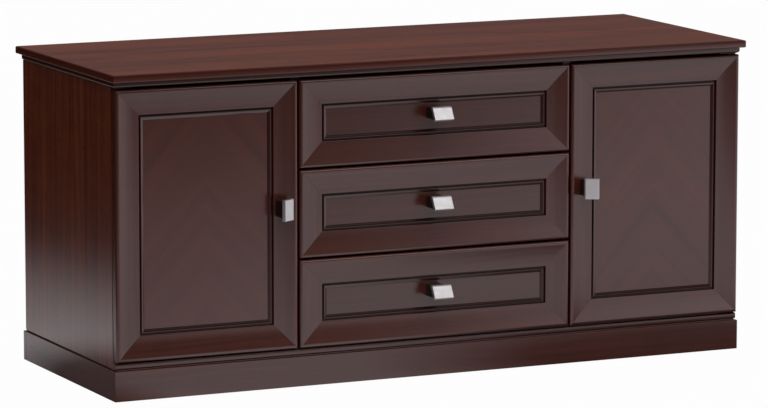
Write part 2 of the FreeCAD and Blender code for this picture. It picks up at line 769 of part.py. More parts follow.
def build_doors(door, knob, rail):
    """Both doors with their knobs and pivots."""
    lower_leaf_beds, pivots = [], []
    for side, sign in SIDES.items():
        name = f"{side}_door"
        spot = {"x": DOOR_MIDDLE * sign, "y": CREST, "z": FRONTS_MIDDLE}
        frame = copy_at(f"{name}_frame_copy", door["frame"], **spot)
        stile_edge = DOOR_EDGE + S.member_width
        neck_middle = stile_edge - S.door_neck_margin - S.neck_height / 2
        neck, bores = fit_knob(name, knob, neck_middle * sign,
                               FRONTS_MIDDLE + S.door_knob_rise, -90 * sign,
                               FRONT_BACK - PANEL_FACE)
        leaves, beds, fixed, bed = door_pivot(name, sign)
        pivots += fixed
        lower_leaf_beds.append(bed)
        keep(cut(f"{name}_neck_cut", neck, group(f"{name}_neck_tools", [frame, bores])),
             f"{name}_knob_neck")
        keep(cut(f"{name}_frame_cut", frame, group(f"{name}_beds", [*beds, bores])),
             f"{name}_frame")
        keep(copy_at(f"{name}_panel_copy", door["panel"], **spot), f"{name}_panel")
        keep(copy_at(f"{name}_beads_copy", door["beads"], **spot), f"{name}_beads")
        keep(group(f"{name}_leaf_group", leaves), f"{name}_pivot_leaves")
    keep(group("pivot_group", pivots), "door_pivots")
    keep(cut("base_rail_cut", rail, group("lower_leaf_beds", lower_leaf_beds)), "base_rail")


def door_pivot(name, sign):
    """Upper and lower pivot of one door, on a vertical axis near its outer edge."""
    outer = (HALF_FRONTS - S.leaf_end) * sign
    inner = (HALF_FRONTS - S.leaf_end - S.leaf_length) * sign
    low_x, high_x = (outer, inner) if sign < 0 else (inner, outer)
    x, y = PIVOT_X * sign, PIVOT_Y
    thick = S.leaf_thickness
    leaf_front = FRONT_BACK - S.leaf_width
    bore = S.pin_diameter + S.pin_clearance * 2
    wide_bore = S.pin_diameter + S.pin_bore_clearance * 2
    leaves, beds, fixed = [], [], []
    levels = {
        "upper": (FRONTS_TOP - thick, FRONTS_TOP, FRONTS_TOP - S.pin_depth,
                  CARCASS_TOP - thick, CARCASS_TOP),
        "lower": (FRONTS_FOOT, FRONTS_FOOT + thick, FRONTS_FOOT,
                  BASE_RAIL_TOP - thick, BASE_RAIL_TOP),
    }
    for end, (low, high, bore_low, fixed_low, fixed_high) in levels.items():
        tag = f"{name}_{end}"
        bed = board(f"{tag}_bed", (low_x, leaf_front, low), (high_x, FRONT_BACK, high))
        pin_room = rod(f"{tag}_bore", wide_bore, S.pin_depth, x, y, bore_low)
        eye = rod(f"{tag}_eye", bore, thick, x, y, low)
        leaves.append(cut(f"{tag}_leaf", bed, eye))
        beds += [bed, pin_room]
        plate = board(f"{tag}_plate", (low_x, leaf_front, fixed_low),
                      (high_x, CARCASS_FRONT, fixed_high))
        if end == "upper":
            pin_low, pin_high = bore_low + S.collar_clearance, fixed_low
            pieces = [plate, rod(f"{tag}_pin", S.pin_diameter, pin_high - pin_low, x, y,
                                 pin_low)]
        else:
            reach = S.front_gap_below + S.pin_depth - S.collar_clearance
            collar = S.front_gap_below - S.collar_clearance
            pieces = [plate, rod(f"{tag}_pin", S.pin_diameter, reach, x, y, fixed_high),
                      rod(f"{tag}_collar", S.collar_diameter, collar, x, y, fixed_high)]
            rail_bed = plate
        fixed.append(fuse(f"{tag}_pivot", pieces))
    return leaves, beds, fixed, rail_bed


def build_drawers(front, knob):
    """The three drawers: front, knob, box and the runner members that move."""
    box, box_runners, mid_runners = drawer_box(), *drawer_runners()
    for number, name in enumerate(DRAWERS):
        middle = drawer_middle(number)
        spot = {"y": CREST, "z": middle}
        neck, bores = fit_knob(name, knob, ZERO, middle + S.drawer_knob_rise, 0,
                               FRONT_BACK + S.box_board - PANEL_FACE)
        keep(cut(f"{name}_neck_cut", neck, bores), f"{name}_knob_neck")
        keep(copy_at(f"{name}_frame_copy", front["frame"], **spot), f"{name}_frame")
        panel = copy_at(f"{name}_panel_copy", front["panel"], **spot)
        keep(cut(f"{name}_panel_cut", panel, bores), f"{name}_panel")
        keep(copy_at(f"{name}_beads_copy", front["beads"], **spot), f"{name}_beads")
        box_spot = {"z": middle - S.box_drop}
        keep(cut(f"{name}_box_cut", copy_at(f"{name}_box_copy", box, **box_spot), bores),
             f"{name}_box")
        keep(copy_at(f"{name}_inner_copy", box_runners, **box_spot), f"{name}_runners")
        keep(copy_at(f"{name}_mid_copy", mid_runners, **box_spot), f"{name}_mid_runners")


def drawer_box():
    """A drawer box behind its front, centred on z = 0."""
    half, thick = HALF_BOX, S.box_board
    near, far = FRONT_BACK, INSIDE_BACK - S.box_back_room
    low, high = -S.box_height / 2, S.box_height / 2
    return group("drawer_box_set", [
        board("box_left", (-half, near, low), (thick - half, far, high)),
        board("box_right", (half - thick, near, low), (half, far, high)),
        board("box_front", (thick - half, near, low), (half - thick, near + thick, high)),
        board("box_back", (thick - half, far - thick, low), (half - thick, far, high)),
        board("box_bottom_board", (thick - half, near + thick, low + S.box_bottom_rise),
              (half - thick, far - thick, low + S.box_bottom_rise + S.box_bottom)),
    ])


def channel_pair(name, web, lip, reach):
    """Two lipped channels, one each side: web and lip are distances from the middle."""
    gauge = S.runner_gauge if web.value > lip.value else -S.runner_gauge
    start = CARCASS_FRONT + S.runner_setback
    length = INSIDE_BACK - S.runner_back_room - start
    pieces = []
    for side, sign in SIDES.items():
        corners = [(web, -reach), (lip, -reach), (lip, S.runner_gauge - reach),
                   (web - gauge, S.runner_gauge - reach), (web - gauge, reach - S.runner_gauge),
                   (lip, reach - S.runner_gauge), (lip, reach), (web, reach)]
        corners = [(across * sign, up) for across, up in corners]
        body = bar(f"{name}_{side}", "XZ_Plane", corners, length)
        pieces.append(place(body, y=start + length / 2))
    return group(name, pieces)


def runner_members():
    """Web, lip and half height of the three members of a runner."""
    gauge, play, tip = S.runner_gauge, S.runner_play, S.runner_tip
    half = S.runner_height / 2
    outer = PARTITION_INNER
    middle = outer - gauge - play
    inner = HALF_BOX
    return {
        "cabinet": (outer, inner + tip * 2, half),
        "mid": (middle, inner + gauge + tip, half - gauge - play),
        "drawer": (inner, middle - gauge - tip, half - (gauge + play) * 2),
    }


def drawer_runners():
    """The runner members on a drawer box and the ones between it and the cabinet."""
    members = runner_members()
    return (channel_pair("inner_runner_set", *members["drawer"]),
            channel_pair("mid_runner_set", *members["mid"]))


def build_cabinet_runners():
    """The runner members on the partitions."""
    pair = channel_pair("outer_runner_set", *runner_members()["cabinet"])
    rows = [copy_at(f"{name}_outer_copy", pair, z=drawer_middle(number) - S.box_drop)
            for number, name in enumerate(DRAWERS)]
    keep(group("cabinet_runner_group", rows), "cabinet_runners")


# ------------------------------------------------------------------------ the piece


def check_document():
    """Stops if any object failed or any sub-part has no valid shape."""
    doc.recompute()
    for item in doc.Objects:
        if {"Invalid", "Error"} & set(item.State):
            raise RuntimeError(f"{item.Label} did not recompute: {item.State}")
    for item in nodes:
        if item.Shape.isNull() or not item.Shape.isValid() or not item.Shape.Solids:
            raise RuntimeError(f"{item.Label} has no valid solid")


def write_parts():
    """Writes one file for each sub-part."""
    os.makedirs("parts", exist_ok=True)
    for item in nodes:
        item.Shape.exportStep(os.path.join("parts", f"{item.Label}.step"))
        print(f"{item.Label}: {len(item.Shape.Solids)} solid(s)")


def build():
    """Builds the whole credenza."""
    build_top()
    rail = build_carcass()
    build_bumpers()
    build_plinth()
    plate, point = knob_plate()
    knob = {"plate": plate, "neck": knob_neck(point)}
    build_doors(front_set("door", DOOR_WIDTH, FRONTS_HEIGHT), knob, rail)
    build_drawers(front_set("drawer", S.drawer_front_width, DRAWER_HEIGHT), knob)
    build_cabinet_runners()
    check_document()
    write_parts()


build()
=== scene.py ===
import json
import logging
import math
from collections.abc import Callable, Iterable, Sequence
from dataclasses import dataclass, field
from enum import Enum
from functools import cache
from itertools import accumulate

import bmesh
import bpy
from bmesh.types import BMesh, BMFace, BMLayerItem, BMVert
from bpy.types import Material, NodeSocket, Object
from mathutils import Matrix, Vector


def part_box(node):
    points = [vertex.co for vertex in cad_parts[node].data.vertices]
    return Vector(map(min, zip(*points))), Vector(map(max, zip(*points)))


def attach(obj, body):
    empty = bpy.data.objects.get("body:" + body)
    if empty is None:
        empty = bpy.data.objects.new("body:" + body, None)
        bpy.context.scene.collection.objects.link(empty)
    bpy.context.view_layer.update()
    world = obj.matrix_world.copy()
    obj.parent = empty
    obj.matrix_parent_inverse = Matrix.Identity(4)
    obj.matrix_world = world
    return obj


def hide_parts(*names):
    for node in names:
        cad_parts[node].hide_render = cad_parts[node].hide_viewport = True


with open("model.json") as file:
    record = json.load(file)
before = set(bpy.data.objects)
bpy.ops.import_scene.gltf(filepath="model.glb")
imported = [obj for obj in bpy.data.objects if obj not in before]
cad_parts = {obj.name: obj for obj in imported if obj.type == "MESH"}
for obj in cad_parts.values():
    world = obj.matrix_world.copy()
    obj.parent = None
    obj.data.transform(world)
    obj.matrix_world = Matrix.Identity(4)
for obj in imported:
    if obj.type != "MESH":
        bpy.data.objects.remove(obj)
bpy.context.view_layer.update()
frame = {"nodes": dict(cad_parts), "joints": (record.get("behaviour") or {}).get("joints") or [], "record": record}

# Office credenza in lacquered mahogany.  Metres; +X to the right, +Y to the back, +Z up.

GRAIN_MAP = "grain"
# The vertex attributes below hold a painted highlight on crests and arrises and a painted shade in quirks, grooves
# and along edges and roundings.
PAINTED_HIGHLIGHT = "painted_highlight"
PAINTED_SHADE = "painted_shade"

logging.basicConfig(level=logging.INFO, format="%(message)s")
log = logging.getLogger("credenza")

Colour = tuple[float, float, float]
Point = tuple[float, float]
Place = tuple[float, float, float]
Value = NodeSocket | float | Sequence[float]
SLOTS: dict[str, str] = {row["node"]: row["material_slot"] for row in frame["record"]["subparts"]}


class Axis(Enum):
    """A direction of the room, as the number of its coordinate."""

    X = 0
    Y = 1
    Z = 2


class Placing(Enum):
    """Where a finish takes its pattern's coordinates from."""

    GRAIN = "the map that runs along each board's grain"
    ROOM = "the place in the room"


# ---- node trees


class Tree:
    """The node tree of a material or of the world, with a short call for each kind of node."""

    def __init__(self, owner: Material | bpy.types.World) -> None:
        """Empties the owner's node tree.

        Args:
            owner: the material or world whose tree this is.
        """
        owner.use_nodes = True
        self.nodes = owner.node_tree.nodes
        self.links = owner.node_tree.links
        self.nodes.clear()

    def feed(self, socket: NodeSocket, value: Value) -> None:
        """Sets an input to a constant or links it to another node's output.

        Args:
            socket: the input.
            value: a number, a colour, a vector or an output socket.
        """
        if isinstance(value, NodeSocket):
            self.links.new(value, socket)
        elif isinstance(value, tuple) and socket.type == "RGBA":
            socket.default_value = (*value, 1.0)
        else:
            socket.default_value = value

    def add(self, kind: str, inputs: dict[str | int, Value] | None = None,
            **settings: object) -> bpy.types.Node:
        """Adds a node.

        Args:
            kind: the node's type without its ShaderNode prefix.
            inputs: values of its inputs, by name or by number.
            **settings: its other properties.

        Returns:
            The new node.
        """
        node = self.nodes.new(f"ShaderNode{kind}")
        for name, value in settings.items():
            setattr(node, name, value)
        for name, value in (inputs or {}).items():
            self.feed(node.inputs[name], value)
        return node

    def math(self, operation: str, *values: Value) -> NodeSocket:
        """Works out one number with a Math node's operation, from its inputs in order."""
        return self.add("Math", dict(enumerate(values)), operation=operation).outputs[0]

    def vector(self, operation: str, *values: Value) -> NodeSocket:
        """Works out a vector; a length or a dot product comes out as a number."""
        node = self.add("VectorMath", dict(enumerate(values)), operation=operation)
        return node.outputs["Value" if operation in ("LENGTH", "DOT_PRODUCT") else "Vector"]

    def place(self) -> NodeSocket:
        """The place in metres, as in the room while every joint is at rest."""
        return self.add("TexCoord").outputs["Object"]

    def noise(self, vector: Value, factors: Sequence[float], detail: float = 2.0,
              roughness: float = 0.5, distortion: float = 0.0) -> NodeSocket:
        """Smooth noise, stretched along the coordinates.

        Args:
            vector: the coordinates.
            factors: features per metre along each of them.
            detail: octaves of finer detail.
            roughness: strength of those octaves.
            distortion: how much the noise wanders.

        Returns:
            A number around one half.
        """
        node = self.add("TexNoise", {"Vector": self.vector("MULTIPLY", vector, factors),
                                     "Scale": 1.0, "Detail": detail, "Roughness": roughness,
                                     "Distortion": distortion})
        return node.outputs[0]

    def ranged(self, value: Value, low: float, high: float, to_low: float = 0.0,
               to_high: float = 1.0, smooth: bool = False) -> NodeSocket:
        """Maps a number from one range to another.

        Args:
            value: the number.
            low: start of the first range.
            high: end of the first range.
            to_low: start of the second range.
            to_high: end of the second range.
            smooth: whether the ramp eases in and out.

        Returns:
            The mapped number, kept inside the second range.
        """
        kind = "SMOOTHSTEP" if smooth else "LINEAR"
        node = self.add("MapRange", {0: value, 1: low, 2: high, 3: to_low, 4: to_high},
                        interpolation_type=kind)
        return node.outputs[0]

    def mixed(self, share: Value, first: Value, second: Value) -> NodeSocket:
        """Mixes two colours, with a share of the second."""
        return self.add("Mix", {0: share, 6: first, 7: second}, data_type="RGBA").outputs[2]

    def bumped(self, height: Value, distance: float, strength: float) -> NodeSocket:
        """Turns a height into a bumped normal, where 1 stands proud by a distance in metres."""
        node = self.add("Bump", {"Height": height, "Distance": distance, "Strength": strength})
        return node.outputs[0]


def make_material(name: str, shade: Callable[[Tree], NodeSocket]) -> Material:
    """Makes a material.

    Args:
        name: the material's name.
        shade: adds the shader's nodes to a tree and returns the shader.

    Returns:
        The material.
    """
    made = bpy.data.materials.new(name)
    tree = Tree(made)
    tree.add("OutputMaterial", {"Surface": shade(tree)})
    return made


# ---- finishes


# Features per metre along the grain, across it and through it.
WANDER = (1.6, 7.0, 1.0)
RIBBON = (26.0, 9.0, 1.0)
PORES = (75.0, 2300.0, 1.0)
PATCHES = (1.9, 9.0, 1.0)
RIPPLE = (70.0, 90.0, 80.0)

TONE_SHARES = (0.36, 0.34, 0.20, 0.10)
WANDER_REACH = 0.05
TONE_SPREAD = 0.105
PATCH_SHARE = 0.5
PORE_SHADE = 0.45
# Painted highlight: its colour, the light streaks made lighter.
HIGHLIGHT_TONE = 1.3
# Painted shade: its colour, the dark streaks made darker, and the share of the coat left where it lies.
SHADE_PAINT_TONE = 0.5
SHADE_PAINT_COAT = 0.12
GRAIN_HEIGHT = 0.00004
RIPPLE_HEIGHT = 0.00003


def scaled(colour: Colour, factor: float, lift: float = 0.0) -> Colour:
    """A colour made stronger or weaker, each part 1 at most."""
    return tuple(min(1.0, part * factor + lift) for part in colour)


@dataclass(frozen=True)
class WoodFinish:
    """Wood under lacquer: streaks, figure and pores along the grain.

    Sheen is the wood's own gloss, and gloss is the roughness of its coat of lacquer.
    """

    name: str
    dark: Colour
    light: Colour
    tint: Colour
    streaks: float = 42.0
    contrast: float = 1.0
    pores: float = 0.5
    gloss: float = 0.19
    coat: float = 1.0
    coat_index: float = 1.65
    sheen: float = 0.08
    strength: float = 1.0
    placing: Placing = Placing.GRAIN

    def coordinates(self, tree: Tree) -> NodeSocket:
        """The pattern's coordinates in metres: along the grain, across it, and through it."""
        on_map = self.placing is Placing.GRAIN
        return tree.add("UVMap", uv_map=GRAIN_MAP).outputs[0] if on_map else tree.place()

    def shade(self, tree: Tree) -> NodeSocket:
        """Adds the shader.

        Args:
            tree: the material's tree.

        Returns:
            The shader.
        """
        dark, light, tint = (scaled(colour, self.strength)
                             for colour in (self.dark, self.light, self.tint))
        place = self.coordinates(tree)
        wander = tree.noise(place, WANDER, detail=1.0)
        sway = tree.add("CombineXYZ", {1: tree.math("MULTIPLY", wander, WANDER_REACH)})
        grain = tree.vector("ADD", place, sway.outputs[0])
        broad = tree.noise(grain, (1.6, self.streaks, 1.0), roughness=0.6)
        bands = tree.noise(grain, (0.7, self.streaks * 0.28, 1.0), detail=1.5, distortion=0.3)
        fine = tree.noise(grain, (7.0, self.streaks * 6.0, 1.0), detail=3.0, roughness=0.6)
        ribbon = tree.noise(grain, RIBBON, detail=1.5, distortion=0.4)
        flecks = tree.ranged(tree.noise(grain, PORES, detail=1.0), 0.60, 0.72)

        tone: Value = 0.0
        for layer, share in zip((broad, bands, fine, ribbon), TONE_SHARES, strict=True):
            tone = tree.math("MULTIPLY_ADD", layer, share, tone)
        spread = TONE_SPREAD / self.contrast
        colour = tree.mixed(tree.ranged(tone, 0.5 - spread, 0.5 + spread), dark, light)
        patch = tree.ranged(tree.noise(place, PATCHES, detail=1.0), 0.40, 0.66)
        colour = tree.mixed(tree.math("MULTIPLY", patch, PATCH_SHARE), colour, tint)
        pores = tree.math("MULTIPLY", flecks, self.pores)
        colour = tree.mixed(pores, colour, scaled(dark, PORE_SHADE))
        # Painted highlight: crests and arrises made lighter, unevenly along the grain.
        painted_highlight = tree.add("Attribute", attribute_name=PAINTED_HIGHLIGHT).outputs["Fac"]
        highlight_share = tree.math("MULTIPLY", painted_highlight, tree.ranged(fine, 0.35, 0.65, 0.03, 0.2))
        colour = tree.mixed(highlight_share, colour, scaled(light, HIGHLIGHT_TONE))
        # Painted shade: darker colour where the mesh marks it.
        painted_shade = tree.add("Attribute", attribute_name=PAINTED_SHADE).outputs["Fac"]
        colour = tree.mixed(painted_shade, colour, scaled(dark, SHADE_PAINT_TONE))

        rough = tree.math("MULTIPLY_ADD", flecks, 0.1, tree.ranged(fine, 0.3, 0.7, 0.42, 0.52))
        height = tree.math("MULTIPLY_ADD", flecks, -0.7, fine)
        return tree.add("BsdfPrincipled", {
            "Base Color": colour, "Roughness": rough, "Specular IOR Level": self.sheen,
            # Painted shade also thins the coat, painting out its reflection there.
            "Coat Weight": tree.ranged(painted_shade, 0.5, 1.0, self.coat, self.coat * SHADE_PAINT_COAT),
            "Coat IOR": self.coat_index, "Coat Roughness": self.gloss,
            "Normal": tree.bumped(height, GRAIN_HEIGHT, 0.6),
            "Coat Normal": tree.bumped(tree.noise(place, RIPPLE), RIPPLE_HEIGHT, 0.5)}).outputs[0]


@dataclass(frozen=True)
class MetalFinish:
    """Plated or painted metal, finely brushed, a little duller where it is handled."""

    name: str
    colour: Colour
    roughness: float = 0.28
    metallic: float = 1.0
    lines: Sequence[float] = (900.0, 900.0, 60.0)
    depth: float = 0.00001
    dulling: float = 0.94

    def shade(self, tree: Tree) -> NodeSocket:
        """Adds the shader.

        Args:
            tree: the material's tree.

        Returns:
            The shader.
        """
        place = tree.place()
        brushed = tree.noise(place, self.lines)
        cloudy = tree.noise(place, (60.0, 60.0, 60.0), detail=3.0)
        handled = tree.ranged(cloudy, 0.35, 0.7)
        rough = tree.math("ADD", tree.ranged(brushed, 0.3, 0.7, -0.04, 0.05),
                          tree.ranged(cloudy, 0.3, 0.7, self.roughness, self.roughness + 0.03))
        return tree.add("BsdfPrincipled", {
            "Base Color": tree.mixed(handled, self.colour, scaled(self.colour, self.dulling)),
            "Metallic": self.metallic, "Roughness": rough,
            "Normal": tree.bumped(brushed, self.depth, 0.5)}).outputs[0]


@dataclass(frozen=True)
class MouldedFinish:
    """Moulded plastic or rubber with a fine grain."""

    name: str
    colour: Colour
    roughness: float = 0.55
    grain: float = 900.0
    depth: float = 0.00003
    dust: float = 0.01

    def shade(self, tree: Tree) -> NodeSocket:
        """Adds the shader.

        Args:
            tree: the material's tree.

        Returns:
            The shader.
        """
        place = tree.place()
        pebbled = tree.noise(place, (self.grain,) * 3)
        dusty = tree.ranged(tree.noise(place, (45.0, 45.0, 45.0), detail=3.0), 0.4, 0.75)
        return tree.add("BsdfPrincipled", {
            "Base Color": tree.mixed(dusty, self.colour, scaled(self.colour, 1.3, self.dust)),
            "Roughness": tree.ranged(pebbled, 0.3, 0.7, self.roughness - 0.06,
                                     self.roughness + 0.08),
            "Normal": tree.bumped(pebbled, self.depth, 0.5)}).outputs[0]


# Each wood's colours: its dark streaks, its light ones and the tint of its patches.
MAHOGANY = ((0.057, 0.0098, 0.0048), (0.115, 0.0230, 0.0115), (0.070, 0.0170, 0.0085))
TOP_MAHOGANY = ((0.105, 0.0150, 0.0055), (0.205, 0.0345, 0.0125), (0.160, 0.0325, 0.0110))
CASE_MAHOGANY = ((0.070, 0.0115, 0.0048), (0.180, 0.0400, 0.0150), (0.115, 0.0230, 0.0090))
HARDWOOD = ((0.46, 0.31, 0.18), (0.62, 0.46, 0.29), (0.55, 0.38, 0.22))
SOFTWOOD = ((0.44, 0.30, 0.17), (0.60, 0.45, 0.28), (0.50, 0.36, 0.21))

FINISHES: dict[str, WoodFinish | MetalFinish | MouldedFinish] = {
    "top_veneer": WoodFinish("lacquered_top_veneer", *TOP_MAHOGANY, streaks=20.0, contrast=1.5),
    "front_mahogany": WoodFinish("lacquered_front_mahogany", *MAHOGANY, streaks=120.0,
                                 contrast=0.8),
    "door_veneer": WoodFinish("lacquered_matched_veneer", *MAHOGANY, streaks=48.0,
                              contrast=0.62, strength=1.1),
    # The drawer panels take a darker copy of this mahogany: painted shade on the drawer panels.
    "drawer_veneer": WoodFinish("lacquered_drawer_veneer", *MAHOGANY, streaks=110.0,
                                contrast=0.8, strength=0.87),
    "case_mahogany": WoodFinish("lacquered_case_veneer", *CASE_MAHOGANY, streaks=90.0,
                                contrast=1.25, strength=1.12),
    "base_mahogany": WoodFinish("lacquered_base_mahogany", *MAHOGANY, streaks=90.0,
                                contrast=0.8),
    "back_veneer": WoodFinish("satin_back_veneer", *MAHOGANY, streaks=26.0, gloss=0.32,
                              coat=0.3),
    "drawer_box_wood": WoodFinish("satin_box_hardwood", *HARDWOOD, streaks=70.0, gloss=0.3,
                                  coat=0.35, pores=0.25),
    "block_wood": WoodFinish("bare_softwood", *SOFTWOOD, streaks=160.0, gloss=0.5, coat=0.0,
                             pores=0.15, placing=Placing.ROOM),
    "satin_nickel": MetalFinish("satin_nickel", (0.84, 0.81, 0.82), roughness=0.38),
    "dark_bronze": MetalFinish("dark_bronze", (0.045, 0.032, 0.028), roughness=0.34,
                               metallic=0.7),
    "hardware_steel": MetalFinish("zinc_plated_steel", (0.58, 0.57, 0.54), roughness=0.32),
    "runner_steel": MetalFinish("rolled_runner_steel", (0.60, 0.60, 0.60), roughness=0.36,
                                lines=(700.0, 25.0, 700.0)),
    "glide_plastic": MouldedFinish("black_nylon", (0.030, 0.030, 0.031)),
    "bumper_rubber": MouldedFinish("soft_grey_pad", (0.30, 0.30, 0.30), roughness=0.4),
}


@cache
def finish_for(slot: str) -> Material:
    """The material of a slot of the record, made when it is first asked for."""
    finish = FINISHES[slot]
    return make_material(finish.name, finish.shade)


# ---- mesh making


END_FACE = 0.7  # part of a face's normal along the grain from which it is an end
END_SHIFT = (1.7, 0.9)  # shift of the grain map on the ends of a board


def arc(centre: Point, radius: float, start: float, end: float, steps: int) -> list[Point]:
    """Points on an arc, both ends included.

    Args:
        centre: the arc's centre.
        radius: its radius.
        start: first angle in degrees.
        end: last angle in degrees.
        steps: number of straight pieces.

    Returns:
        The points in order.
    """
    turns = (math.radians(start + (end - start) * step / steps) for step in range(steps + 1))
    return [(centre[0] + radius * math.cos(turn), centre[1] + radius * math.sin(turn))
            for turn in turns]


def hollow(start: Point, end: Point, rise: float, steps: int) -> list[Point]:
    """Points inside an arc that bows to the left of its chord, without its ends.

    Args:
        start: first end.
        end: last end.
        rise: height of the bow over the chord.
        steps: number of straight pieces.

    Returns:
        The points between the two ends.
    """
    first, last = Vector(start), Vector(end)
    chord = last - first
    half = chord.length / 2
    radius = (half * half + rise * rise) / (2 * rise)
    side = Vector((-chord.y, chord.x)).normalized()
    centre = (first + last) / 2 - side * (radius - rise)
    turns = (math.degrees(math.atan2(*(point - centre).yx)) for point in (first, last))
    return arc(tuple(centre), radius, *turns, steps)[1:-1]


def smooth_object(name: str, bm: BMesh, sharp: float = 40.0) -> Object:
    """Turns mesh data into a shown object, smooth except across sharp edges.

    Args:
        name: the object's name.
        bm: the mesh data, which is used up.
        sharp: angle in degrees from which an edge stays sharp.

    Returns:
        The new object.
    """
    bmesh.ops.recalc_face_normals(bm, faces=bm.faces)
    mesh = bpy.data.meshes.new(name)
    bm.to_mesh(mesh)
    bm.free()
    mesh.shade_smooth()
    mesh.set_sharp_from_angle(angle=math.radians(sharp))
    item = bpy.data.objects.new(name, mesh)
    bpy.context.scene.collection.objects.link(item)
    return item


def wall(bm: BMesh, first: list[BMVert], second: list[BMVert]) -> list[BMFace]:
    """Joins two closed rings of as many points by faces.

    Args:
        bm: the mesh data.
        first: points of one ring.
        second: points of the other.

    Returns:
        The new faces.
    """
    count = len(first)
    return [bm.faces.new((first[k], first[(k + 1) % count], second[(k + 1) % count], second[k]))
            for k in range(count)]


@dataclass(frozen=True)
class Board:
    """A board between two corners, with eased edges and grain along one axis.

    Upper and under are the roundings along its upper and lower face, corner that of its
    upright edges.  The last three fields give how much painted shade lies on the upper
    rounding, down the sides and on the rounding below.
    """

    low: Vector
    high: Vector
    grain: Axis
    upper: float = 0.0008
    under: float = 0.0008
    corner: float = 0.0008
    steps: int = 3
    edge_shade_paint: float = 0.0
    side_shade_paint: float = 0.0
    under_shade_paint: float = 0.0

    def levels(self) -> list[tuple[float, float, float]]:
        """The rings of points that make up the board, from the lower face to the upper.

        Returns:
            Each ring's distance inside the board's sides, its height and its painted shade.
        """
        lower = arc((self.under, self.under), self.under, 270, 180, self.steps)
        raised = arc((self.upper, -self.upper), self.upper, 180, 90, self.steps)
        places = ([(inset, self.low.z + height) for inset, height in lower]
                  + [(inset, self.high.z + height) for inset, height in raised])
        shade_paints = [self.under_shade_paint] * self.steps + [self.side_shade_paint]
        shade_paints += [self.edge_shade_paint] * self.steps + [0.0]
        return [(*place, shade_paint) for place, shade_paint in zip(places, shade_paints, strict=True)]

    def ring(self, inset: float) -> list[Point]:
        """The board's outline, some way inside its sides.

        Args:
            inset: distance inside the sides.

        Returns:
            Points of a rectangle with round corners, counter-clockwise.
        """
        radius = max(self.corner - inset, 0.00005)
        near = Vector((self.low.x + inset + radius, self.low.y + inset + radius))
        far = Vector((self.high.x - inset - radius, self.high.y - inset - radius))
        corners = ((near.x, near.y), (far.x, near.y), (far.x, far.y), (near.x, far.y))
        return [point for turn, centre in enumerate(corners)
                for point in arc(centre, radius, 180 + 90 * turn, 270 + 90 * turn, self.steps)]

    def add_to(self, bm: BMesh, offset: Point = (0.0, 0.0)) -> None:
        """Adds the board's faces and their grain map.

        Args:
            bm: the mesh data.
            offset: shift of the grain map, which makes each board's figure its own.
        """
        # Each point's painted shade, from its ring.
        painted_shade = bm.verts.layers.float.get(PAINTED_SHADE) or bm.verts.layers.float.new(PAINTED_SHADE)
        rings = []
        for inset, z, shade_paint in self.levels():
            rings.append([bm.verts.new((x, y, z)) for x, y in self.ring(inset)])
            for vertex in rings[-1]:
                vertex[painted_shade] = shade_paint
        faces = [bm.faces.new(rings[0][::-1]), bm.faces.new(rings[-1])]
        for lower, raised in zip(rings, rings[1:]):
            faces += wall(bm, lower, raised)
        grain = bm.loops.layers.uv.get(GRAIN_MAP) or bm.loops.layers.uv.new(GRAIN_MAP)
        for face in faces:
            face.normal_update()
            for loop in face.loops:
                loop[grain].uv = self.grain_place(loop.vert.co, face.normal, offset)

    def grain_place(self, place: Vector, normal: Vector, offset: Point) -> Point:
        """Where a point of the board lies on its grain map.

        Args:
            place: the point.
            normal: the face's normal.
            offset: shift of the map.

        Returns:
            Distance along the grain and across it.
        """
        along = self.grain.value
        first, second = (axis for axis in range(3) if axis != along)
        if abs(normal[along]) < END_FACE:
            return place[along] + offset[0], place[first] - place[second] + offset[1]
        size = self.high - self.low
        if size[first] < size[second]:
            first, second = second, first
        return (place[first] + offset[0] + END_SHIFT[0],
                place[second] + offset[1] + END_SHIFT[1])


def end_boards(low: Vector, high: Vector, across: Axis, thickness: float, grain: Axis,
               upper: float = Board.upper) -> list[Board]:
    """The two boards at opposite ends of a box.

    Args:
        low: the box's lowest corner.
        high: its highest corner.
        across: the axis on which the boards face each other.
        thickness: their thickness.
        grain: the axis of their grain.
        upper: rounding along their upper edges.

    Returns:
        The board at the lower end and the one at the upper end.
    """
    first, second = high.copy(), low.copy()
    first[across.value] = low[across.value] + thickness
    second[across.value] = high[across.value] - thickness
    return [Board(low, first, grain, upper), Board(second, high, grain, upper)]


def board_piece(name: str, node: str, boards: Iterable[Board], body: str = "cabinet",
                seed: int = 0) -> None:
    """One piece made of boards, in place of a CAD node.

    Args:
        name: the piece's name.
        node: the node that it stands for.
        boards: its boards.
        body: the body that it rides on.
        seed: shifts the grain of all its boards.
    """
    bm = bmesh.new()
    for number, board in enumerate(boards, start=1):
        board.add_to(bm, (3.7 * number + 11.3 * seed, 1.9 * number + 5.1 * seed))
    piece = smooth_object(name, bm)
    piece.modifiers.new("flat faces", "WEIGHTED_NORMAL").keep_sharp = True
    settle(piece, node, body)


def finish_item(item: Object, slot: str) -> None:
    """Gives an object the finish of a slot, in place of any that it has."""
    item.data.materials.clear()
    item.data.materials.append(finish_for(slot))


def settle(piece: Object, node: str, body: str) -> None:
    """Gives a piece its finish, its body and the node that it stands for.

    Args:
        piece: the piece.
        node: the node that it stands for.
        body: the body that it rides on.
    """
    slot = SLOTS[node]
    finish_item(piece, slot)
    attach(piece, body)
    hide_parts(node)
    log.info("built %s in %s", piece.name, slot)


def dress(*nodes: str) -> None:
    """Gives CAD nodes the finish of their slots.

    Args:
        *nodes: the nodes' names.
    """
    for node in nodes:
        finish_item(frame["nodes"][node], SLOTS[node])
        log.info("dressed %s in %s", node, SLOTS[node])


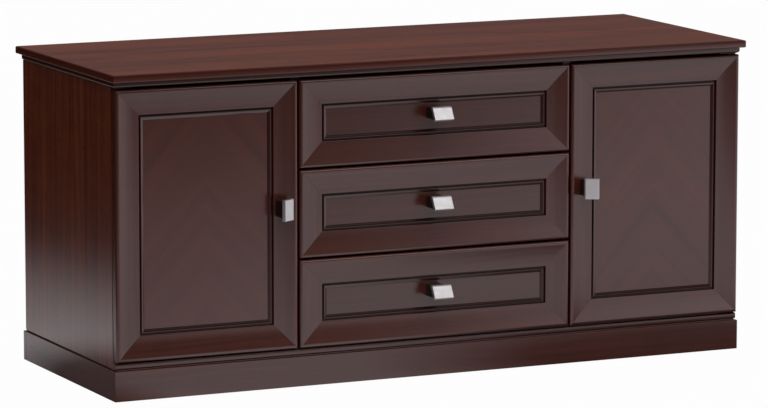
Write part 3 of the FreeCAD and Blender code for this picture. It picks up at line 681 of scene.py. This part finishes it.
def carve(piece: Object, cutters: Iterable[Object]) -> None:
    """Cuts solids out of a piece and throws the solids away.

    Args:
        piece: the piece, before it rides on a body.
        cutters: what is cut out of it.
    """
    cutters = list(cutters)
    for cutter in cutters:
        cut = piece.modifiers.new("cut", "BOOLEAN")
        cut.operation = "DIFFERENCE"
        cut.solver = "EXACT"
        cut.object = cutter
    bpy.context.view_layer.update()
    shape = piece.evaluated_get(bpy.context.evaluated_depsgraph_get())
    mesh = bpy.data.meshes.new_from_object(shape)
    piece.modifiers.clear()
    piece.data = mesh
    for cutter in cutters:
        bpy.data.objects.remove(cutter)


def add_block(bm: BMesh, low: Vector, high: Vector) -> None:
    """Adds a plain block between two corners to mesh data."""
    place = Matrix.Translation((low + high) / 2) @ Matrix.Diagonal((*(high - low), 1.0))
    bmesh.ops.create_cube(bm, size=1.0, matrix=place)


def cutter_box(low: Vector, high: Vector) -> Object:
    """A box-shaped cutter.

    Args:
        low: lowest corner.
        high: highest corner.

    Returns:
        The cutter.
    """
    bm = bmesh.new()
    add_block(bm, low, high)
    return smooth_object("cutter", bm)


def cutter_rod(x: float, y: float, low: float, high: float, radius: float) -> Object:
    """An upright round cutter.

    Args:
        x: its axis.
        y: its axis.
        low: its lower end.
        high: its upper end.
        radius: its radius.

    Returns:
        The cutter.
    """
    bm = bmesh.new()
    place = Matrix.Translation((x, y, (low + high) / 2))
    bmesh.ops.create_cone(bm, cap_ends=True, segments=32, radius1=radius, radius2=radius,
                          depth=high - low, matrix=place)
    return smooth_object("cutter", bm)


# ---- the fixed parts


@dataclass
class Top:
    """The overhanging top and the thinner board below it."""

    upper_round: float = 0.0035
    under_round: float = 0.003
    corner_round: float = 0.002
    sub_top_round: float = 0.005

    def build(self) -> None:
        """Builds both boards and dresses the screws between them."""
        # Both boards carry painted shade on their roundings and sides, most on the top's upper rounding.
        board_piece("top_board", "top_panel", [
            Board(*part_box("top_panel"), Axis.X, upper=self.upper_round, under=self.under_round,
                  corner=self.corner_round, steps=8, edge_shade_paint=0.95, side_shade_paint=0.45,
                  under_shade_paint=0.7)], seed=1)
        board_piece("sub_top_board", "sub_top", [
            Board(*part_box("sub_top"), Axis.X, under=self.sub_top_round, steps=6,
                  edge_shade_paint=0.7, side_shade_paint=0.5, under_shade_paint=0.6)], seed=2)
        dress("top_screws")


@dataclass
class Case:
    """Side panels, partitions, floor, back, shelves and their small parts."""

    partition: float = 0.020
    shelf_play: float = 0.001

    def build(self) -> None:
        """Builds the boards and dresses what stays as it is."""
        for number, side in enumerate(("left_side", "right_side")):
            board_piece(f"{side}_board", side, [Board(*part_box(side), Axis.Z)], seed=3 + number)
        board_piece("partition_boards", "partitions",
                    end_boards(*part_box("partitions"), Axis.X, self.partition, Axis.Z), seed=6)
        board_piece("floor_board", "carcass_floor",
                    [Board(*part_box("carcass_floor"), Axis.X)], seed=7)
        board_piece("back_board", "back_panel", [Board(*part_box("back_panel"), Axis.X)], seed=8)
        low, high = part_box("shelves")
        length = high.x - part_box("partitions")[1].x - self.shelf_play
        board_piece("shelf_boards", "shelves", end_boards(low, high, Axis.X, length, Axis.X),
                    seed=9)
        dress("shelf_pins", "bumpers", "door_pivots", "cabinet_runners")


@dataclass
class Base:
    """The rail below the fronts, the plinth and what it stands on."""

    rail_round: float = 0.005
    board: float = 0.018
    strip: float = 0.020
    plate: float = 0.002

    def build(self) -> None:
        """Builds the rail, the plinth's boards and the strips above them."""
        self.build_rail()
        board_piece("plinth_rail_boards", "plinth_rails",
                    end_boards(*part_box("plinth_rails"), Axis.Y, self.board, Axis.X), seed=10)
        board_piece("plinth_end_boards", "plinth_ends",
                    end_boards(*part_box("plinth_ends"), Axis.X, self.board, Axis.Y), seed=11)
        low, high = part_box("reveal_strips")
        inside = Vector((0.0, self.strip, 0.0))
        strips = end_boards(low, high, Axis.Y, self.strip, Axis.X)
        strips += end_boards(low + inside, high - inside, Axis.X, self.strip, Axis.Y)
        board_piece("shadow_line_strips", "reveal_strips", strips, seed=12)
        dress("glide_blocks", "levelling_glides")

    def build_rail(self) -> None:
        """The rounded rail, with beds for the lower pivots."""
        low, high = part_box("base_rail")
        depth, height, edge = high.y - low.y, high.z - low.z, self.rail_round
        outline = [*arc((edge, edge), edge, 270, 180, 8),
                   *arc((edge, height - edge), edge, 180, 90, 8), (depth, height), (depth, 0.0)]
        bm = bmesh.new()
        ends = [[bm.verts.new((x, low.y + across, low.z + up)) for across, up in outline]
                for x in (low.x, high.x)]
        grain = bm.loops.layers.uv.new(GRAIN_MAP)
        faces = [bm.faces.new(ends[0]), bm.faces.new(ends[1][::-1]), *wall(bm, *ends)]
        for loop in (loop for face in faces for loop in face.loops):
            place = loop.vert.co
            loop[grain].uv = (place.x, place.y - place.z)
        rail = smooth_object("base_rail_moulding", bm)
        pivots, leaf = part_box("door_pivots"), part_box("left_door_pivot_leaves")
        reach = leaf[1].x - leaf[0].x
        beds = []
        for edge, way in ((pivots[0].x, 1), (pivots[1].x, -1)):
            near, far = sorted((edge, edge + reach * way))
            beds.append(cutter_box(Vector((near, pivots[0].y, high.z - self.plate)),
                                   Vector((far, high.y + self.plate, high.z + self.plate))))
        carve(rail, beds)
        settle(rail, "base_rail", "cabinet")


# ---- framed doors, drawers


PANEL_RECESS = 0.0131  # face of a panel behind the crest of its frame


@dataclass(frozen=True)
class FrameMoulding:
    """Section of a frame member: round outer edge, hollow face, arris and groove."""

    width: float = 0.060
    thickness: float = 0.022
    edge_round: float = 0.0065
    fall: float = 0.0071
    hollow_depth: float = 0.0012
    arris: float = 0.0015
    recess: float = PANEL_RECESS
    panel: float = 0.006
    tongue: float = 0.008
    # Painted shade on the inner edge, and at most this much deep in the outer rounding.
    inner_shade_paint: float = 0.9
    outer_shade_paint: float = 0.25

    def outline(self) -> list[Point]:
        """The section's outline.

        Returns:
            Distances in from the member's outer edge, with depths behind the frame's crest.
        """
        edge, arris, width = self.edge_round, self.arris, self.width
        face = hollow((edge, 0.0), (width - arris, self.fall), self.hollow_depth, 14)
        groove = [(width, self.recess), (width - self.tongue, self.recess),
                  (width - self.tongue, self.recess + self.panel),
                  (width, self.recess + self.panel)]
        return [(0.0, self.thickness),
                *arc((edge, edge), edge, 180, 270, 10), *face,
                *arc((width - arris, self.fall + arris), arris, 270, 360, 5),
                *groove, (width, self.thickness)]

    def painted_highlight(self, point: Point) -> float:
        """How much painted highlight a point of the section gets.

        Args:
            point: a point of the outline.

        Returns:
            1 on the crest and on the arris, falling to 0 away from them.
        """
        across, depth = point
        if depth > self.fall + self.arris * 2:
            return 0.0
        crest = 1 - min(1.0, abs(across - self.edge_round * 0.6) / (self.edge_round * 0.6))
        inner = 1 - min(1.0, abs(across - self.width) / (self.arris * 2))
        return max(crest, inner)

    def painted_shade(self, point: Point, length_shade: float) -> float:
        """How much painted shade a point of the section gets.

        Args:
            point: a point of the outline.
            length_shade: not used.

        Returns:
            Most on the inner edge, less deep in the outer edge, 0 on the face.
        """
        across, depth = point
        if across >= self.width - self.arris * 0.7 and depth > self.fall + self.arris * 0.3:
            return self.inner_shade_paint
        outer = (depth - self.edge_round * 0.35) / self.edge_round
        return max(0.0, min(self.outer_shade_paint, outer)) if across < self.edge_round * 0.5 else 0.0


@dataclass(frozen=True)
class BeadMoulding:
    """Section of a bead: a deep quirk beside the frame, then a round that falls to the panel.

    Sag says how hollow that slope is, as a share of its height.
    """

    width: float = 0.0130
    quirk: float = 0.0038
    height: float = 0.0042
    nose: float = 0.0020
    skin: float = 0.0004
    recess: float = PANEL_RECESS
    sag: float = 0.16
    # Painted shade in the quirk, and how much less lies on the nose as a length's shade grows.
    quirk_shade_paint: float = 0.9
    nose_relief: float = 0.4

    def outline(self) -> list[Point]:
        """The section's outline.

        Returns:
            Distances in from the bead's outer edge, with depths behind the frame's crest.
        """
        crown, nose = self.recess - self.height, self.nose
        bed = self.recess - self.skin
        top = self.quirk + nose
        slope = hollow((self.width, bed), (top, crown), (self.height - self.skin) * self.sag, 8)
        return [(0.0, self.recess), (0.0, bed), (self.quirk, bed),
                *arc((top, crown + nose), nose, 180, 270, 6), *reversed(slope),
                (self.width, bed), (self.width, self.recess)]

    def painted_highlight(self, point: Point) -> float:
        """How much painted highlight a point gets: 1 on the crown, 0 towards the panel and in the quirk."""
        return 1 - min(1.0, (point[1] - (self.recess - self.height)) / self.height * 3)

    def painted_shade(self, point: Point, length_shade: float) -> float:
        """How much painted shade a point of the section gets.

        Args:
            point: a point of the outline.
            length_shade: how much painted shade lies on this length.

        Returns:
            Most in the quirk, and on the slope to the panel as much as on this length.
        """
        across, depth = point
        if across <= self.quirk:
            return self.quirk_shade_paint
        if across <= self.quirk + self.nose:
            return self.quirk_shade_paint - self.nose_relief * length_shade
        return length_shade if depth < self.recess - self.skin * 1.5 else length_shade * 0.5


@dataclass
class MitredRing:
    """Four mitred lengths of one moulding round a rectangle.

    The last field gives how much painted shade lies on the lower, right, upper and left length: darkest below,
    then at the right.
    """

    moulding: FrameMoulding | BeadMoulding
    low: Vector
    high: Vector
    crest: float
    seed: int
    hairline: float = 0.0001
    length_shade: tuple[float, float, float, float] = (1.0, 0.82, 0.25, 0.10)

    def corners(self, inset: float) -> list[Vector]:
        """The rectangle's corners, some way inside it.

        Args:
            inset: distance inside its sides.

        Returns:
            Four corners, counter-clockwise as seen from the front.
        """
        left, right = self.low.x + inset, self.high.x - inset
        foot, head = self.low.z + inset, self.high.z - inset
        return [Vector((left, 0, foot)), Vector((right, 0, foot)), Vector((right, 0, head)),
                Vector((left, 0, head))]

    def build(self, name: str) -> Object:
        """Builds the four lengths as one mesh.

        Args:
            name: the piece's name.

        Returns:
            The new object.
        """
        outline = self.moulding.outline()
        lengths = [0.0, *accumulate(map(math.dist, outline, outline[1:]))]
        bm = bmesh.new()
        grain = bm.loops.layers.uv.new(GRAIN_MAP)
        painted_highlight = bm.verts.layers.float.new(PAINTED_HIGHLIGHT)
        painted_shade = bm.verts.layers.float.new(PAINTED_SHADE)
        for side, length_shade in enumerate(self.length_shade):
            following = (side + 1) % 4
            ends = []
            for end, inward in ((side, self.hairline), (following, -self.hairline)):
                ends.append([])
                for across, depth in outline:
                    corners = self.corners(across)
                    way = (corners[following] - corners[side]).normalized()
                    place = corners[end] + way * inward
                    vertex = bm.verts.new((place.x, self.crest + depth, place.z))
                    # Each point keeps its painted highlight and its painted shade.
                    vertex[painted_highlight] = self.moulding.painted_highlight((across, depth))
                    vertex[painted_shade] = self.moulding.painted_shade((across, depth), length_shade)
                    ends[-1].append(vertex)
            self.skin(bm, grain, ends, lengths, side)
        return smooth_object(name, bm, sharp=32.0)

    def skin(self, bm: BMesh, grain: BMLayerItem,
             ends: list[list[BMVert]], lengths: list[float], side: int) -> None:
        """Joins the two ends of one length and maps its grain.

        Args:
            bm: the mesh data.
            grain: the grain map.
            ends: the section's points at both mitres.
            lengths: distance of each point along the section.
            side: number of the length.
        """
        shift = (self.seed * 2.3 + side * 4.1, self.seed * 0.7 + side * 1.9)
        rows = {vertex: lengths[k] for end in ends for k, vertex in enumerate(end)}
        near, far = ends
        faces = [bm.faces.new(near), bm.faces.new(far[::-1])]
        faces += [bm.faces.new((near[k - 1], far[k - 1], far[k], near[k]))
                  for k in (*range(1, len(near)), 0)]
        for loop in (loop for face in faces for loop in face.loops):
            place = loop.vert.co
            along = place.z if side % 2 == 1 else place.x
            loop[grain].uv = (along + shift[0], rows[loop.vert] + shift[1])


@dataclass
class Front:
    """A framed and panelled front of a door or a drawer, with its knob."""

    name: str
    seed: int
    frame: FrameMoulding = field(default_factory=FrameMoulding)
    bead: BeadMoulding = field(default_factory=BeadMoulding)

    def carvings(self) -> list[Object]:
        """Cutters of what is cut out of the frame; none on a plain front."""
        return []

    def build_panel(self) -> None:
        """Builds the panel, with its grain along the front."""
        board_piece(f"{self.name}_panel_board", f"{self.name}_panel",
                    [Board(*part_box(f"{self.name}_panel"), Axis.X)], self.name, self.seed)

    def build(self) -> None:
        """Builds frame, beads and panel and dresses the knob, its neck and its screws."""
        low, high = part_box(f"{self.name}_frame")
        ring = MitredRing(self.frame, low, high, low.y, self.seed)
        made = ring.build(f"{self.name}_frame_moulding")
        cutters = self.carvings()
        if cutters:
            carve(made, cutters)
        settle(made, f"{self.name}_frame", self.name)
        inset = Vector((self.frame.width, 0.0, self.frame.width))
        beads = MitredRing(self.bead, low + inset, high - inset, low.y, self.seed + 40)
        settle(beads.build(f"{self.name}_bead_moulding"), f"{self.name}_beads", self.name)
        self.build_panel()
        dress(*(f"{self.name}_knob{part}" for part in ("", "_neck", "_screws")))


@dataclass
class Door(Front):
    """A door: its frame has beds for the pivots and its veneer is book matched."""

    leaf: float = 0.002
    bore: float = 0.0023
    bore_depth: float = 0.011
    figure_angle: float = 42.0

    def carvings(self) -> list[Object]:
        """Beds of the two pivot leaves and the bores for the pins.

        Returns:
            The cutters.
        """
        low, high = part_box(f"{self.name}_pivot_leaves")
        joint = next(row for row in frame["joints"] if row["child"] == self.name)
        x, y = joint["pos_m"][:2]
        leaf, behind = Vector((0.0, 0.0, self.leaf)), Vector((0.0, self.leaf, 0.0))
        return [
            cutter_box(low - leaf, Vector((high.x, high.y, low.z)) + leaf + behind),
            cutter_box(Vector((low.x, low.y, high.z)) - leaf, high + leaf + behind),
            cutter_rod(x, y, low.z - self.leaf, low.z + self.bore_depth, self.bore),
            cutter_rod(x, y, high.z - self.bore_depth, high.z + self.leaf, self.bore)]

    def build_panel(self) -> None:
        """Two mirrored leaves of veneer that meet in a seam, with a slanting figure."""
        low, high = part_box(f"{self.name}_panel")
        seam = (low.x + high.x) / 2
        slant = Matrix.Rotation(math.radians(self.figure_angle), 2)
        shift = Vector((self.seed * 2.9, self.seed))
        bm = bmesh.new()
        grain = bm.loops.layers.uv.new(GRAIN_MAP)
        for near, far in ((low.x, seam), (seam, high.x)):
            made = set(bm.faces)
            add_block(bm, Vector((near, low.y, low.z)), Vector((far, high.y, high.z)))
            for loop in (loop for face in set(bm.faces) - made for loop in face.loops):
                place = Vector((loop.vert.co.z, abs(loop.vert.co.x - seam)))
                loop[grain].uv = slant @ place + shift
        piece = smooth_object(f"{self.name}_panel_veneer", bm)
        settle(piece, f"{self.name}_panel", self.name)

    def build(self) -> None:
        """Builds the front and dresses its pivot leaves."""
        super().build()
        dress(f"{self.name}_pivot_leaves")


@dataclass
class Drawer(Front):
    """A drawer: its front, its box and the runner members that move with it."""

    side: float = 0.013
    bottom: float = 0.006
    bottom_rise: float = 0.012
    box_ease: float = 0.0015

    def box_boards(self) -> list[Board]:
        """The drawer box.

        Returns:
            Two sides, the inner front, the back and the bottom.
        """
        low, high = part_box(f"{self.name}_box")
        inset = Vector((self.side, 0.0, 0.0))
        boards = end_boards(low, high, Axis.X, self.side, Axis.Y, self.box_ease)
        boards += end_boards(low + inset, high - inset, Axis.Y, self.side, Axis.X,
                             self.box_ease)
        inside = Vector((self.side, self.side, self.bottom_rise))
        floor = Vector((high.x - self.side, high.y - self.side,
                        low.z + self.bottom_rise + self.bottom))
        return [*boards, Board(low + inside, floor, Axis.X)]

    def build(self) -> None:
        """Builds the front and the box and dresses the runners."""
        super().build()
        board_piece(f"{self.name}_box_boards", f"{self.name}_box", self.box_boards(),
                    self.name, self.seed + 20)
        dress(f"{self.name}_runners", f"{self.name}_mid_runners")


# ---- the studio


@dataclass(frozen=True)
class Slope:
    """Brightness of the floor as a tilted plane: base + across times X + along times Y."""

    base: float
    across: float
    along: float
    lowest: float = 0.0
    highest: float = 1.0

    def brightness(self, tree: Tree, place: NodeSocket) -> NodeSocket:
        """Brightness at a place on the floor.

        Args:
            tree: the floor's tree.
            place: the place.

        Returns:
            The brightness.
        """
        tilted = tree.vector("DOT_PRODUCT", place, (self.across, self.along, 0.0))
        return tree.ranged(tilted, self.lowest - self.base, self.highest - self.base,
                           self.lowest, self.highest)


@dataclass(frozen=True)
class Shade:
    """A soft oval of shade on the floor, round a centre, with a half width and a half depth."""

    centre: Point
    radii: Point
    inner: float = 0.8
    outer: float = 1.6
    darkest: float = 0.1

    def brightness(self, tree: Tree, place: NodeSocket) -> NodeSocket:
        """Share of the light that is left at a place on the floor.

        Args:
            tree: the floor's tree.
            place: the place.

        Returns:
            The share.
        """
        away = tree.vector("SUBTRACT", place, (*self.centre, 0.0))
        oval = tree.vector("MULTIPLY", away, (1 / self.radii[0], 1 / self.radii[1], 1.0))
        return tree.ranged(tree.vector("LENGTH", oval), self.inner, self.outer,
                           self.darkest, 1.0)


def stage_piece(name: str, bm: BMesh, light: Callable[[Tree], NodeSocket],
                mirrored_only: bool = True) -> None:
    """Adds a piece of the studio.

    Args:
        name: the piece's name.
        bm: its mesh data, which is used up.
        light: adds its shader's nodes to a tree and returns the shader.
        mirrored_only: whether it shows in reflections and in nothing else.
    """
    item = smooth_object(name, bm)
    item.data.materials.append(make_material(name, light))
    if mirrored_only:
        item.visible_camera = False
        item.visible_diffuse = False
        item.visible_shadow = False


@dataclass
class Studio:
    """White floor, dim tent, soft light from above, a white card and the camera."""

    white: Colour = (1.0, 1.0, 1.0)
    cool_white: Colour = (0.98, 0.95, 1.0)
    floor_half: float = 9.0
    floor_grey: float = 0.30
    shadow_share: float = 0.02
    pools: tuple[Slope, ...] = (Slope(1.18, 0.30, 0.26, 0.45, 0.90),
                                Slope(4.06, 0.56, 1.20, 0.10, 1.0),
                                Slope(1.71, 0.81, -0.27, 0.0, 1.0))
    shades: tuple[Shade, ...] = (Shade((0.75, -0.35), (0.55, 0.38)),
                                 Shade((-0.95, -0.10), (0.20, 0.42)),
                                 Shade((0.0, 1.6), (0.75, 1.2)))
    tent_radius: float = 14.0
    tent_low: float = 0.045
    tent_high: float = 0.14
    tent_right: float = 0.6
    tent_right_span: Point = (0.65, 0.95)
    ceiling: float = 1.5
    ceiling_rise: Point = (0.3, 0.85)
    key_side: Place = (0.80, -0.60, 0.0)
    key_share: float = 0.6
    card_left: float = 2.25
    card_soft: float = 0.8
    card_right: float = 7.0
    card_high: float = 2.2
    card_away: float = 5.33
    card_strength: float = 1.13
    lamp_aim: float = 0.4
    camera_place: Place = (-4.7336, -10.2039, 2.1028)
    yaw: float = 24.8715
    pitch: float = 8.7542
    roll: float = 0.0092
    lens: float = 220.96
    sensor: float = 36.0
    view_depth: float = 100.0

    def build(self) -> None:
        """Builds the whole studio."""
        self.build_world()
        self.build_tent()
        self.build_floor()
        self.build_card()
        self.build_lamp("overhead_softbox", place=(-0.3, -0.4, 3.2), size=(3.4, 2.4), power=14.0)
        self.build_lamp("front_softbox", place=(1.75, -2.9, 3.4), size=(1.8, 1.8), power=16.0,
                        mirrored=True)
        self.place_camera()
        log.info("built the studio")

    def build_world(self) -> None:
        """White where it is seen or mirrored, and soft light from above."""
        world = bpy.data.worlds.new("studio_room")
        bpy.context.scene.world = world
        tree = Tree(world)
        way = tree.add("TexCoord").outputs["Generated"]
        up = tree.add("SeparateXYZ", {0: way}).outputs[2]
        strength = tree.ranged(up, *self.ceiling_rise, 0.0, self.ceiling, smooth=True)
        key = tree.vector("DOT_PRODUCT", way, self.key_side)
        lean = tree.ranged(key, -1.0, 1.0, 1 - self.key_share, 1 + self.key_share)
        strength = tree.math("MULTIPLY", strength, lean)
        path = tree.add("LightPath")
        for kind in ("Is Camera Ray", "Is Glossy Ray", "Is Transmission Ray"):
            strength = tree.math("MAXIMUM", strength, path.outputs[kind])
        back = tree.add("Background", {"Color": self.white, "Strength": strength})
        tree.add("OutputWorld", {"Surface": back.outputs[0]})

    def build_tent(self) -> None:
        """A dim tent round the set, which shows only in reflections."""
        bm = bmesh.new()
        bmesh.ops.create_uvsphere(bm, u_segments=64, v_segments=32, radius=self.tent_radius)
        stage_piece("studio_tent", bm, self.tent_light)

    def tent_light(self, tree: Tree) -> NodeSocket:
        """The tent's light: brighter upwards, and at its right end.

        Args:
            tree: the material's tree.

        Returns:
            The shader.
        """
        across, _, up = tree.add("SeparateXYZ", {0: tree.place()}).outputs
        glow = tree.ranged(up, 0.0, self.tent_radius, self.tent_low, self.tent_high)
        span = (self.tent_radius * share for share in self.tent_right_span)
        right = tree.ranged(across, *span, 0.0, self.tent_right)
        glow = tree.math("ADD", glow, right)
        return tree.add("Emission", {"Color": self.white, "Strength": glow}).outputs[0]

    def build_floor(self) -> None:
        """The plain floor."""
        bm = bmesh.new()
        bmesh.ops.create_grid(bm, x_segments=2, y_segments=2, size=self.floor_half)
        stage_piece("studio_floor", bm, self.floor_light, mirrored_only=False)

    def floor_light(self, tree: Tree) -> NodeSocket:
        """The floor's light: white to the eye, and in reflections fading away from the set.

        Args:
            tree: the material's tree.

        Returns:
            The shader.
        """
        place, glow = tree.place(), 1.0
        for pool in self.pools:
            glow = tree.math("MINIMUM", glow, pool.brightness(tree, place))
        for shade in self.shades:
            glow = tree.math("MULTIPLY", glow, shade.brightness(tree, place))
        path = tree.add("LightPath").outputs
        seen = path["Is Camera Ray"]
        paint = tree.add("Emission", {"Color": tree.mixed(seen, self.cool_white, self.white),
                                      "Strength": tree.math("MAXIMUM", glow, seen)})
        plain = tree.add("BsdfDiffuse", {"Color": (self.floor_grey,) * 3})
        shown = tree.math("MULTIPLY", seen, 1 - self.shadow_share)
        for kind in ("Is Glossy Ray", "Is Transmission Ray"):
            shown = tree.math("MAXIMUM", shown, path[kind])
        mixed = tree.add("MixShader", {0: shown, 1: plain.outputs[0], 2: paint.outputs[0]})
        return mixed.outputs[0]

    def build_card(self) -> None:
        """A tall white card at the front right, which shows only in reflections."""
        bm = bmesh.new()
        left, right, away, high = self.card_left, self.card_right, -self.card_away, self.card_high
        corners = ((left, away, 0.0), (right, away, 0.0), (right, away, high), (left, away, high))
        bm.faces.new([bm.verts.new(corner) for corner in corners])
        stage_piece("studio_card", bm, self.card_light)

    def card_light(self, tree: Tree) -> NodeSocket:
        """The card's light, with a soft left edge.

        Args:
            tree: the material's tree.

        Returns:
            The shader.
        """
        across = tree.add("SeparateXYZ", {0: tree.place()}).outputs[0]
        solid = tree.ranged(across, self.card_left, self.card_left + self.card_soft)
        paint = tree.add("Emission", {"Color": self.cool_white, "Strength": self.card_strength})
        clear = tree.add("BsdfTransparent")
        mixed = tree.add("MixShader", {0: solid, 1: clear.outputs[0], 2: paint.outputs[0]})
        return mixed.outputs[0]

    def build_lamp(self, name: str, place: Place, size: Point, power: float,
                   mirrored: bool = False) -> None:
        """A soft lamp that points at the middle of the set.

        Args:
            name: the lamp's name.
            place: where it hangs.
            size: its width and height.
            power: its power in watts.
            mirrored: whether it shows in reflections, and only there.
        """
        data = bpy.data.lights.new(name, "AREA")
        data.shape = "RECTANGLE"
        data.size, data.size_y = size
        data.energy = power
        lamp = bpy.data.objects.new(name, data)
        lamp.location = place
        away = Vector(place) - Vector((0.0, 0.0, self.lamp_aim))
        lamp.rotation_euler = away.to_track_quat("Z", "Y").to_euler()
        lamp.visible_camera = False
        lamp.visible_glossy = mirrored
        lamp.visible_diffuse = not mirrored
        bpy.context.scene.collection.objects.link(lamp)

    def place_camera(self) -> None:
        """The camera, from its place, yaw, pitch and roll."""
        data = bpy.data.cameras.new("camera")
        data.lens = self.lens
        data.sensor_width = self.sensor
        data.clip_end = self.view_depth
        camera = bpy.data.objects.new("camera", data)
        turns = ((-self.yaw, "Z"), (90 - self.pitch, "X"), (self.roll, "Z"))
        camera.matrix_world = Matrix.Translation(self.camera_place)
        for turn, axis in turns:
            camera.matrix_world @= Matrix.Rotation(math.radians(turn), 4, axis)
        bpy.context.scene.collection.objects.link(camera)
        bpy.context.scene.camera = camera


# ---- the whole


def main() -> None:
    """Builds every sub-assembly and the studio, in order."""
    bpy.context.scene.view_settings.view_transform = "Standard"
    for assembly in (Top(), Case(), Base(), Door("left_door", 1), Door("right_door", 2),
                     Drawer("top_drawer", 3), Drawer("middle_drawer", 4),
                     Drawer("bottom_drawer", 5), Studio()):
        assembly.build()


if __name__ == "__main__":
    main()
